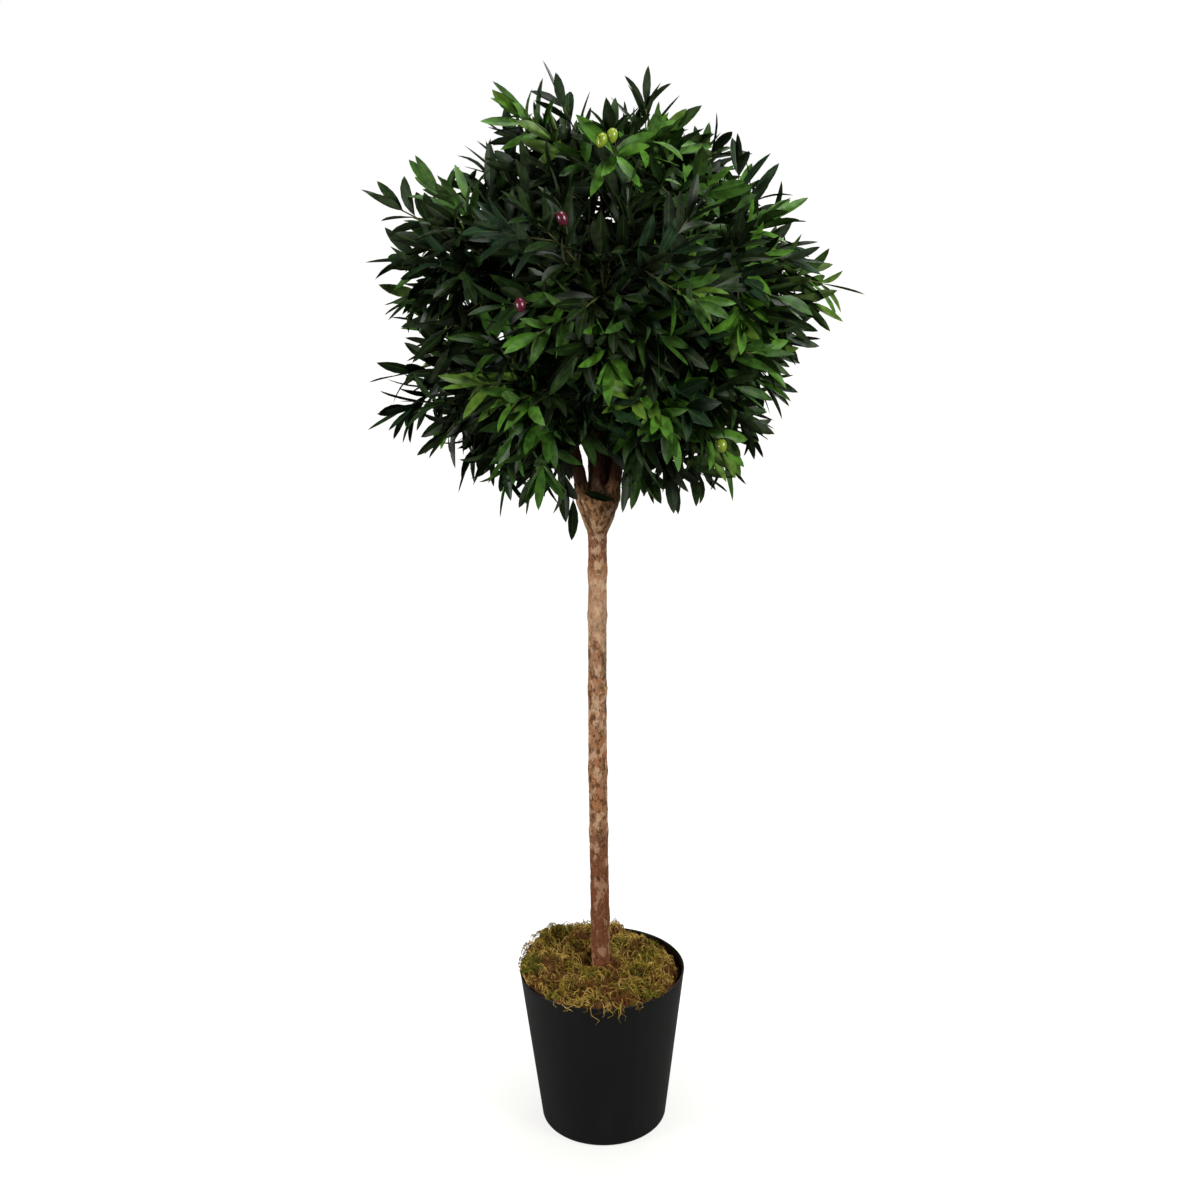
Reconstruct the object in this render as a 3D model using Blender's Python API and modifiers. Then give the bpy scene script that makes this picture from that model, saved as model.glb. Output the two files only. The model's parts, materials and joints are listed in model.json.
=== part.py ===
"""Artificial olive tree: a leafy ball on a bare wooden stem, in a black pot topped with moss.

Metres, +Z up. The origin is the centre of the pot's flat underside, and the front is -Y.
"""

import math
import random

import bmesh
import bpy
import numpy as np
from mathutils import Matrix, Vector, noise
from mathutils.bvhtree import BVHTree

# Pot, its fill and the moss on top
POT_HEIGHT = 0.250
POT_TOP_RADIUS = 0.1225
POT_BASE_RADIUS = 0.0930
POT_WALL = 0.0025
POT_FLOOR = 0.003
POT_CORNER = 0.006
POT_SIDES = 32
GAP = 0.0003  # clearance between pieces that touch on the real tree
FILL_TOP = 0.228
MOSS_SWELL = 0.019  # how far the moss rises above the pot's rim, at most
MOSS_LEVEL = 0.005  # its middle height above the rim
MOSS_LUMPS = ((38.0, 0.0085), (90.0, 0.0045))  # how fine and how high they are
MOSS_HEAPED = (140, 0.0075)  # compass angle of its high side, and how much higher that is
MOSS_SUNK = (22, 0.016)  # compass angle where it falls away from the rim, and how far
MOSS_SUNK_ARC = (57, 32)  # degrees to either side of that: where the fall begins, and is whole
MOSS_SUNK_RING = (0.70, 0.92)  # the same going outward, as shares of the pot's radius
MOSS_TUFT = (127, 0.104, 0.014, 0.014)  # compass angle, distance out, height, width
MOSS_SIDES = POT_SIDES

# Stem
STEM_BASE_RADIUS = 0.0130
STEM_NECK_RADIUS = 0.0120
STEM_SIDES = 11
NECK_HEIGHT = 0.919
HEAD_HEIGHT = 0.970  # the flat top of the flared head, where the boughs stand
HEAD_RADIUS = 0.0290
HEAD_FLARE = 0.68  # less than 1 swells at once above the neck
STEM_FOOT_X = -0.0010
STEM_LEAN = 0.0045
STEM_BOW = -0.0030
KNOT_HEIGHTS = (0.335, 0.470, 0.565, 0.690, 0.800, 0.862)
KNOT_SWELL = 0.0012
KNOT_LENGTH = 0.010

# Crown
CROWN_CENTRE = Vector((0.014, 0.0, 1.2255))
CROWN_RADIUS = 0.288
CELL_GAP = 0.0010  # from a mass to the plane it shares with its neighbour
HEART_SHARE = 0.57  # how far out each mass has its middle, as a share of the radius
BOUGH_SHARE = 0.34  # how far out a bough ends and its mass begins
CORE_WIDTH = 0.092  # half sizes of the dense heart of each mass, across and along its stem
CORE_DEPTH = 0.036
WINDOW_LEFT = -0.026  # the gap in the leaves at the fork, at the front
WINDOW_RIGHT = 0.034
WINDOW_TOP = 1.030
WINDOW_SLOPE = 0.12
CHINK_LEFT = -0.027  # the narrow sight right through the crown, between the left bough and the leader
CHINK_RIGHT = -0.008
CHINK_TOP = 1.037
CHINK_SLOPE = 0.225

# Foliage
LEAF_LENGTH = 0.102
LEAF_WIDTH = 0.038
LEAF_THICKNESS = 0.0024
LEAF_WIDEST = 0.44
LEAF_RIDGE = 0.12  # where a leaf is thickest, as a share of its length
TIP_LEAF_SINK = 0.0026  # how far a twig's last leaf starts inside its tip
LEAF_ROLL = 55  # degrees by which blades are rolled about their length, at most
LEAF_SPREAD = (50, 66)  # degrees from the twig, for its outer and its inner pair
PAIR_BACK = (0.008, 0.036)  # how far back from the twig's tip they grow
LEAF_TURNS = (0, 25, -25, 50, -50, 75, -75, 100, -100)  # tried in turn, round the twig, in degrees
LEAF_SIZES = (1.0, 0.84, 0.70)
LEAF_NECK = 0.13  # from here on a leaf keeps clear of the other leaves, as a share of its length
TWIG_RADIUS = 0.0030
TWIG_TIP_RADIUS = 0.0022
TWIGS = {"top": 9, "upper": 10, "lower": 12}  # on a mass, by where it is
DROOP = {"top": 0.0, "upper": 0.0, "lower": -0.30}  # how far their twigs favour going down
INNER_PAIRS = 0.28  # share of the twigs that have an inner pair too
TWIG_ROOM = 0.011  # between the mass's stem foot and the first twig
TWIG_SHIFTS = (0.0, 0.15, 0.3, 0.45)  # tried in turn: how much farther along the stem a twig starts
FRUIT_LENGTH = 0.020
FRUIT_WIDTH = 0.016
SEED = 7

# Mass name: compass angle from +X and height angle of its middle, in degrees
MASSES = {
    "top": (0, 90),
    "upper_back_right": (54, 32),
    "upper_back_left": (126, 35),
    "upper_left": (198, 22),
    "upper_front": (270, 11),
    "upper_right": (342, 20),
    "lower_right": (18, -30),
    "lower_back": (90, -20),
    "lower_left": (162, -30),
    "lower_front_left": (233, -35),
    "lower_front_right": (307, -37),
}

# Bough name: the mass it carries, the radius at its foot, and on which side of the stem's head it
# stands, as a compass angle. The leader stands in the middle.
BOUGHS = {
    "leader": ("top", 0.0108, None),
    "back_right": ("upper_back_right", 0.0078, 54),
    "back_left": ("upper_back_left", 0.0074, 102),
    "left": ("upper_left", 0.0085, 198),
    "right": ("upper_right", 0.0084, 342),
}

# Side limb: the mass it carries, the bough it leaves, and where on that bough
LIMBS = {
    "front": ("upper_front", "leader", 0.38),
    "low_right": ("lower_right", "right", 0.42),
    "low_back": ("lower_back", "back_right", 0.36),
    "low_left": ("lower_left", "left", 0.44),
    "low_front_left": ("lower_front_left", "left", 0.30),
    "low_front_right": ("lower_front_right", "right", 0.28),
}
LIMB_RADIUS = 0.0062
TIP_RADIUS = 0.0042
BOUGH_SIDES = 7
LIMB_SIDES = 6
BOUGH_RING = HEAD_RADIUS - 0.0085  # distance of the outer boughs' feet from the middle of the head
BOUGH_SPLAY = 0.028  # how far outward their bend is from above their feet

# Sprigs that stand out of the ball, seen from the front: angle anticlockwise from the right, in
# degrees, the distance of their tip from the crown's centre, and how far it is in front of that
SPRIGS = (
    (3, 0.344, 0.0),
    (17, 0.291, 0.0),
    (28, 0.298, 0.0),
    (39, 0.289, 0.0),
    (64, 0.285, 0.0),
    (77, 0.276, 0.0),
    (103, 0.319, 0.0),
    (115, 0.317, 0.0),
    (142, 0.314, 0.0),
    (153, 0.348, 0.0),
    (168, 0.318, 0.0),
    (180, 0.292, 0.0),
    (196, 0.325, 0.0),
    (206, 0.355, 0.0),
    (218, 0.310, 0.0),
    (231, 0.317, 0.0),
    (243, 0.317, 0.0),
    (262, 0.300, 0.075),
    (277, 0.272, 0.070),
    (290, 0.285, 0.050),
    (304, 0.316, 0.0),
    (317, 0.296, 0.0),
    (352, 0.290, 0.0),
    (357, 0.318, 0.0),
)
SPRIG_WIDTH = 7  # degrees over which a sprig's reach falls away
SIDE_SPRIGS = 34  # more of them all round the ball, by a rule
SIDE_SPRIG_REACH = (0.292, 0.322)

# Broad swells of the ball and hollows in it, seen from the front: angle, change of its reach in
# metres, width in degrees
SWELLS = (
    (129, -0.055, 7),
    (96, -0.026, 8),
    (335, -0.016, 12),
    (50, -0.010, 12),
    (208, 0.018, 24),
    (270, 0.008, 24),
)

# Fruit: compass angle, height angle, share of the reach
FRUIT = (
    (271, 52, 0.95),
    (277, 54, 0.97),
    (311, -33, 0.92),
    (237, -26, 0.78),
    (60, 15, 0.90),
    (95, -20, 0.88),
    (130, 30, 0.90),
    (20, 40, 0.90),
    (165, -8, 0.88),
)


# ---------------------------------------------------------------- helpers


def clear_scene():
    for obj in list(bpy.data.objects):
        bpy.data.objects.remove(obj, do_unlink=True)


def make_collection(name):
    made = bpy.data.collections.new(name)
    bpy.context.scene.collection.children.link(made)
    return made


def make_material(name, colour, roughness, metallic=0.0):
    material = bpy.data.materials.new(name)
    material.use_nodes = True
    shader = material.node_tree.nodes["Principled BSDF"]
    shader.inputs["Base Color"].default_value = (*colour, 1.0)
    shader.inputs["Roughness"].default_value = roughness
    shader.inputs["Metallic"].default_value = metallic
    return material


def add_object(name, data, collection, material=None):
    obj = bpy.data.objects.new(name, data)
    collection.objects.link(obj)
    if material:
        data.materials.append(material)
    return obj


def toward(compass, height):
    """Unit vector at a compass angle from +X and a height angle, both in degrees."""
    a, h = math.radians(compass), math.radians(height)
    return Vector((math.cos(a) * math.cos(h), math.sin(a) * math.cos(h), math.sin(h)))


def ease_between(value, begin, whole):
    """0 up to where it begins and 1 from where it is whole, with a smooth rise between."""
    share = max(0.0, min(1.0, (value - begin) / (whole - begin)))
    return share * share * (3.0 - 2.0 * share)


def bend(start, middle, end, share):
    """Point on the quadratic curve through start and end that leans towards middle."""
    rest = 1.0 - share
    return start * rest * rest + middle * 2.0 * share * rest + end * share * share


def sweep(start, middle, end, steps):
    """Points along that curve. It leaves its start squarely, so that its foot is cut flat."""
    points = [bend(start, middle, end, i / steps) for i in range(steps + 1)]
    square = (middle - start).normalized() * min(0.004, (points[1] - start).length / 2)
    return [start, start + square, *points[1:]]


def stand(start, middle, end, steps):
    """The same for a bough on the stem's head: its foot is cut level, whichever way it leans."""
    points = sweep(start, middle, end, steps)
    points[1] = start + Vector((0.0, 0.0, 0.004))
    return points


def smooth_by_angle(mesh, degrees=40):
    mesh.shade_smooth()
    mesh.set_sharp_from_angle(angle=math.radians(degrees))


def mesh_from(obj, name):
    """A plain mesh of what the object evaluates to."""
    bpy.context.view_layer.update()
    evaluated = obj.evaluated_get(bpy.context.evaluated_depsgraph_get())
    mesh = bpy.data.meshes.new_from_object(evaluated)
    mesh.name = name
    mesh.transform(obj.matrix_world)
    return mesh


def weld(mesh):
    """Joins a tube's caps to its sides."""
    bm = bmesh.new()
    bm.from_mesh(mesh)
    bmesh.ops.remove_doubles(bm, verts=bm.verts, dist=1e-6)
    bmesh.ops.recalc_face_normals(bm, faces=bm.faces)
    bm.to_mesh(mesh)
    bm.free()


def outline_of(sides, guides):
    """A closed ring of that many sides and radius 1, which tubes take as their section."""
    name = f"section_{sides}"
    if name in bpy.data.objects:
        return bpy.data.objects[name]
    ring = bpy.data.curves.new(name, "CURVE")
    ring.dimensions = "2D"
    spline = ring.splines.new("POLY")
    spline.points.add(sides - 1)
    for index, point in enumerate(spline.points):
        angle = 2 * math.pi * index / sides
        point.co = (math.cos(angle), math.sin(angle), 0, 1)
    spline.use_cyclic_u = True
    section = add_object(name, ring, guides)
    section.hide_render = True
    section.display_type = "WIRE"
    return section


def tube(name, points, radii, sides, collection, guides, material=None):
    """A tapering limb along the points, as a mesh object."""
    curve = bpy.data.curves.new(name, "CURVE")
    curve.dimensions = "3D"
    curve.bevel_mode = "OBJECT"
    curve.bevel_object = outline_of(sides, guides)
    curve.use_fill_caps = True
    spline = curve.splines.new("POLY")
    spline.points.add(len(points) - 1)
    for place, point, radius in zip(spline.points, points, radii):
        place.co = (*point, 1)
        place.radius = radius
    drawn = add_object(name + "_curve", curve, guides)
    mesh = mesh_from(drawn, name)
    weld(mesh)
    bpy.data.objects.remove(drawn, do_unlink=True)
    return add_object(name, mesh, collection, material)


def turned(name, profile, sides, collection, material):
    """A closed turned solid. The profile runs down its outer side."""
    mesh = bpy.data.meshes.new(name)
    points = [(radius, 0.0, height) for radius, height in profile]
    mesh.from_pydata(points, [(i, i + 1) for i in range(len(points) - 1)], [])
    obj = add_object(name, mesh, collection, material)
    screw = obj.modifiers.new("Turn", "SCREW")
    screw.steps = sides
    screw.render_steps = sides
    screw.use_merge_vertices = True
    screw.merge_threshold = 1e-5
    screw.use_smooth_shade = True
    return obj


def cut(obj, cutter):
    """Takes the cutter's shape out of the object, and applies it."""
    knife = obj.modifiers.new("Cut", "BOOLEAN")
    knife.operation = "DIFFERENCE"
    knife.object = cutter
    replace_by_result(obj)


def replace_by_result(obj):
    result = mesh_from(obj, obj.name)
    old = obj.data
    for material in old.materials:
        if not result.materials:
            result.materials.append(material)
    obj.modifiers.clear()
    obj.data = result
    bpy.data.meshes.remove(old)


# ---------------------------------------------------------------- pot, fill and moss


def pot_radius(height):
    """Outer radius of the pot's straight tapering side."""
    return POT_BASE_RADIUS + (POT_TOP_RADIUS - POT_BASE_RADIUS) * height / POT_HEIGHT


def bore_radius(height):
    """Inner radius of the pot, which has a slanting corner round its floor."""
    corner = 1.0 - min(1.0, (height - POT_FLOOR) / POT_CORNER)
    return pot_radius(height) - POT_WALL - POT_CORNER * corner


def make_pot(collection, material):
    corner = [
        (
            pot_radius(POT_CORNER) - POT_CORNER * (1 - math.cos(a)),
            POT_CORNER * (1 - math.sin(a)),
        )
        for a in (0.0, math.pi / 6, math.pi / 3, math.pi / 2)
    ]
    lip = POT_WALL / 2
    profile = [
        (0.0, POT_FLOOR),
        (bore_radius(POT_FLOOR), POT_FLOOR),
        (bore_radius(POT_FLOOR + POT_CORNER), POT_FLOOR + POT_CORNER),
        (bore_radius(POT_HEIGHT - lip), POT_HEIGHT - lip),
        (POT_TOP_RADIUS - POT_WALL + lip * 0.5, POT_HEIGHT),
        (POT_TOP_RADIUS - lip * 0.5, POT_HEIGHT),
        (POT_TOP_RADIUS, POT_HEIGHT - lip),
        *corner,
        (0.0, 0.0),
    ]
    return turned("pot", profile, POT_SIDES, collection, material)


def make_fill(collection, material):
    """The weighted filling that holds the stem upright. Its sides stay just inside the pot."""
    low = POT_FLOOR + GAP
    bend_at = POT_FLOOR + POT_CORNER
    profile = [
        (0.0, FILL_TOP),
        (bore_radius(FILL_TOP) - GAP, FILL_TOP),
        (bore_radius(bend_at) - GAP, bend_at),
        (bore_radius(POT_FLOOR) - GAP, low),
        (0.0, low),
    ]
    return turned("pot_fill", profile, POT_SIDES, collection, material)


def moss_top(x, y):
    """Height of the moss: a lumpy bed, heaped at the back left and sunk along the right rim."""
    spot = Vector((x, y, 0.0))
    rise = MOSS_LEVEL + sum(noise.noise(spot * fine) * high for fine, high in MOSS_LUMPS)
    side, more = MOSS_HEAPED
    rise += more * spot.dot(toward(side, 0)) / POT_TOP_RADIUS
    side, fall = MOSS_SUNK
    off = math.degrees(spot.angle(toward(side, 0), 0.0))
    rise -= fall * ease_between(off, *MOSS_SUNK_ARC) * ease_between(
        spot.length / POT_TOP_RADIUS, *MOSS_SUNK_RING
    )
    side, out, tall, wide = MOSS_TUFT
    rise += tall * math.exp(-(((spot - toward(side, 0) * out).length / wide) ** 2))
    return POT_HEIGHT + min(MOSS_SWELL, rise)


def make_moss(collection, material):
    """A ring of moss round the stem: its lower part is inside the pot, its upper part laps the rim."""
    hole = STEM_BASE_RADIUS + 0.0016
    inner = bore_radius(FILL_TOP + GAP) - GAP
    neck = bore_radius(POT_HEIGHT - 0.006) - GAP
    rings = 5
    top = [(hole + (neck - hole) * i / rings, POT_HEIGHT) for i in range(rings + 1)]
    foot = FILL_TOP + GAP
    profile = [(hole, foot), *top, (neck, POT_HEIGHT - 0.006), (inner, foot), (hole, foot)]
    moss = turned("moss", profile, MOSS_SIDES, collection, material)
    replace_by_result(moss)
    for vertex in moss.data.vertices:
        if vertex.co.z > POT_HEIGHT - 0.001:
            vertex.co.z = moss_top(vertex.co.x, vertex.co.y)
        vertex.co.x += STEM_FOOT_X * max(0.0, 1.0 - vertex.co.xy.length / neck)
    smooth_by_angle(moss.data, 60)
    return moss


# ---------------------------------------------------------------- stem and limbs


def stem_centre(height):
    foot = FILL_TOP + GAP
    share = (height - foot) / (HEAD_HEIGHT - foot)
    return Vector(
        (STEM_FOOT_X + STEM_LEAN * share + STEM_BOW * math.sin(math.pi * share), 0.0, height)
    )


def stem_radius(height):
    foot = FILL_TOP + GAP
    if height > NECK_HEIGHT:
        share = (height - NECK_HEIGHT) / (HEAD_HEIGHT - NECK_HEIGHT)
        return STEM_NECK_RADIUS + (HEAD_RADIUS - STEM_NECK_RADIUS) * share**HEAD_FLARE
    share = (height - foot) / (NECK_HEIGHT - foot)
    plain = STEM_BASE_RADIUS + (STEM_NECK_RADIUS - STEM_BASE_RADIUS) * share
    knots = sum(math.exp(-(((height - z) / KNOT_LENGTH) ** 2)) for z in KNOT_HEIGHTS)
    return plain + KNOT_SWELL * knots


def make_stem(collection, guides, material):
    foot = FILL_TOP + GAP
    heights = {foot, FILL_TOP + 0.05, NECK_HEIGHT}
    for knot in KNOT_HEIGHTS:
        heights |= {knot - 1.6 * KNOT_LENGTH, knot, knot + 1.6 * KNOT_LENGTH}
    flare_rings = 6
    heights |= {
        NECK_HEIGHT + (HEAD_HEIGHT - NECK_HEIGHT) * (i + 1) / flare_rings
        for i in range(flare_rings)
    }
    heights = sorted(heights)
    points = [stem_centre(z) for z in heights]
    # The foot and the head are cut level, so the line starts and ends upright.
    points[1].xy = points[0].xy
    points[-2].xy = points[-1].xy
    stem = tube(
        "trunk",
        points,
        [stem_radius(z) for z in heights],
        STEM_SIDES,
        collection,
        guides,
        material,
    )
    smooth_by_angle(stem.data, 50)
    return stem


def taper(thick, thin, count):
    return [thick + (thin - thick) * i / (count - 1) for i in range(count)]


def bough_line(name):
    """Three points that a bough from the head bends along: steep at its foot, then outward."""
    mass, _, side = BOUGHS[name]
    tip = CROWN_CENTRE + toward(*MASSES[mass]) * CROWN_RADIUS * BOUGH_SHARE
    foot = stem_centre(HEAD_HEIGHT) + Vector((0.0, 0.0, GAP))
    knee = foot + Vector((0.0, 0.0, 0.55 * (tip.z - foot.z)))
    if side is not None:
        foot += toward(side, 0) * BOUGH_RING
        knee += toward(side, 0) * (BOUGH_RING + BOUGH_SPLAY)
    return foot, knee, tip


def limb_shapes():
    """Name to (points, radii) of every bough and side limb, worked out before any is built."""
    shapes = {}
    steps = 6
    for name, (_, radius, _) in BOUGHS.items():
        points = stand(*bough_line(name), steps)
        shapes[name] = (points, taper(radius, TIP_RADIUS, len(points)))
    for name, (mass, parent, where) in LIMBS.items():
        foot = bend(*bough_line(parent), where)
        tip = CROWN_CENTRE + toward(*MASSES[mass]) * CROWN_RADIUS * BOUGH_SHARE
        knee = foot.lerp(tip, 0.45) + Vector((0.0, 0.0, -0.012))
        points = sweep(foot, knee, tip, steps - 2)
        shapes[name] = (points, taper(LIMB_RADIUS, TIP_RADIUS, len(points)))
    heights = [HEAD_HEIGHT - i * 0.012 for i in range(12)]
    shapes["trunk"] = ([stem_centre(z) for z in heights], [stem_radius(z) for z in heights])
    return shapes


def make_limbs(shapes, collection, guides, material):
    """Boughs stand on the head. A side limb's foot is cut to its bough's surface, just clear."""
    for name in BOUGHS:
        points, radii = shapes[name]
        made = tube(f"bough_{name}", points, radii, BOUGH_SIDES, collection, guides, material)
        smooth_by_angle(made.data, 50)
    for name, (_, parent, _) in LIMBS.items():
        points, radii = shapes[name]
        limb = tube(f"limb_{name}", points, radii, LIMB_SIDES, collection, guides, material)
        line, sizes = shapes[parent]
        fat = tube("fat", line, [r + GAP * 1.4 for r in sizes], BOUGH_SIDES, guides, guides)
        cut(limb, fat)
        bpy.data.objects.remove(fat, do_unlink=True)
        keep_largest(limb.data)
        smooth_by_angle(limb.data, 50)


# ---------------------------------------------------------------- the space of each mass


def front(angle):
    """Unit vector that points that many degrees anticlockwise from +X, seen from the front."""
    return toward(0, angle)


def all_sprigs():
    """(direction, reach) of every sprig: those of the outline, and others spread round the ball."""
    tips = [front(angle) * length - Vector((0.0, ahead, 0.0)) for angle, length, ahead in SPRIGS]
    sprigs = [(tip.normalized(), tip.length) for tip in tips]
    rng = random.Random(SEED)
    for index in range(SIDE_SPRIGS):
        rise = 1.0 - 2.0 * (index + 0.5) / SIDE_SPRIGS
        turn = index * math.pi * (3 - math.sqrt(5))
        direction = toward(math.degrees(turn), math.degrees(math.asin(rise)))
        if abs(direction.y) > 0.42 and direction.z > -0.85:
            sprigs.append((direction, rng.uniform(*SIDE_SPRIG_REACH)))
    return sprigs


ALL_SPRIGS = all_sprigs()


def fade(direction, middle, width):
    """1 in the middle direction, falling to nothing over a few widths, in degrees."""
    return math.exp(-((math.degrees(direction.angle(middle)) / width) ** 2))


def reach(direction):
    """How far the crown goes from its centre in this direction."""
    ball = CROWN_RADIUS + sum(
        change * fade(direction, front(angle), width) for angle, change, width in SWELLS
    )
    return ball + max(
        max(0.0, length - ball) * fade(direction, way, SPRIG_WIDTH) for way, length in ALL_SPRIGS
    )


def in_window(point):
    """True in the gap at the front of the fork, where the boughs show, and in the sight past them."""
    if CHINK_LEFT < point.x < CHINK_RIGHT and point.z < CHINK_TOP - CHINK_SLOPE * point.y:
        return True
    top = WINDOW_TOP + WINDOW_SLOPE * abs(point.y)
    return WINDOW_LEFT < point.x < WINDOW_RIGHT and point.y < 0.02 and point.z < top


class Space:
    """The room one mass keeps to: nearer to its own heart than to any other, inside the crown."""

    def __init__(self, name, shapes):
        hearts = {
            mass: CROWN_CENTRE + toward(*angles) * CROWN_RADIUS * HEART_SHARE
            for mass, angles in MASSES.items()
        }
        self.heart = hearts.pop(name)
        self.walls = [
            ((other - self.heart).normalized(), (other + self.heart) / 2) for other in hearts.values()
        ]
        dense = [
            (a.lerp(b, i / 8), ra + (rb - ra) * i / 8)
            for points, radii in shapes.values()
            for a, b, ra, rb in zip(points, points[1:], radii, radii[1:])
            for i in range(9)
        ]
        self.limb_points = np.array([spot for spot, _ in dense])
        self.limb_radii = np.array([size for _, size in dense])

    def holds(self, point, slack=0.0, margin=0.0):
        offset = point - CROWN_CENTRE
        if offset.length > reach(offset.normalized()) + slack or in_window(point):
            return False
        return all((point - middle).dot(way) < -CELL_GAP - margin for way, middle in self.walls)

    def clears_limbs(self, spots, margin):
        apart = np.linalg.norm(np.array(spots)[:, None] - self.limb_points[None], axis=2)
        return bool((apart > self.limb_radii + margin).all())


# ---------------------------------------------------------------- leaves, twigs and fruit


def leaf_mesh():
    """An eight-faced leaf of length 1 along +Z, with its root at the origin and its top to +Y."""
    mesh = bpy.data.meshes.new("leaf")
    bm = bmesh.new()
    bmesh.ops.create_uvsphere(bm, u_segments=4, v_segments=2, radius=1.0)
    for vertex in bm.verts:
        if abs(vertex.co.z) > 0.5:
            vertex.co.z = (vertex.co.z + 1) / 2
        else:
            vertex.co.z = LEAF_WIDEST if abs(vertex.co.x) > 0.5 else LEAF_RIDGE
        vertex.co.x *= 0.5
        vertex.co.y *= 0.5
    bm.to_mesh(mesh)
    bm.free()
    return mesh


def half_width(along):
    """Half the leaf's width at a share of its length, as a share of its full width."""
    return 0.5 * min(along / LEAF_WIDEST, (1.0 - along) / (1.0 - LEAF_WIDEST))


def leaf_outline(base, turn, length, width):
    """Corners of a leaf's blade, from its neck on."""
    places = ((-1, LEAF_NECK), (1, LEAF_NECK), (1, LEAF_WIDEST), (0, 1.0), (-1, LEAF_WIDEST))
    return [
        base + turn @ Vector((side * half_width(along) * width, 0.0, along * length))
        for side, along in places
    ]


def fruit_mesh():
    """A slender egg of length 1 along +Z, with its stalk end at the origin."""
    mesh = bpy.data.meshes.new("fruit")
    bm = bmesh.new()
    bmesh.ops.create_uvsphere(bm, u_segments=6, v_segments=4, radius=0.5)
    bmesh.ops.translate(bm, verts=bm.verts, vec=(0, 0, 0.5))
    bm.to_mesh(mesh)
    bm.free()
    return mesh


def axes(along, top):
    """Rotation whose +Z runs along, and whose +Y is as near to top as that allows."""
    z = along.normalized()
    x = top.cross(z)
    x = x.normalized() if x.length > 1e-6 else z.orthogonal().normalized()
    return Matrix((x, z.cross(x), z)).transposed()


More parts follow.
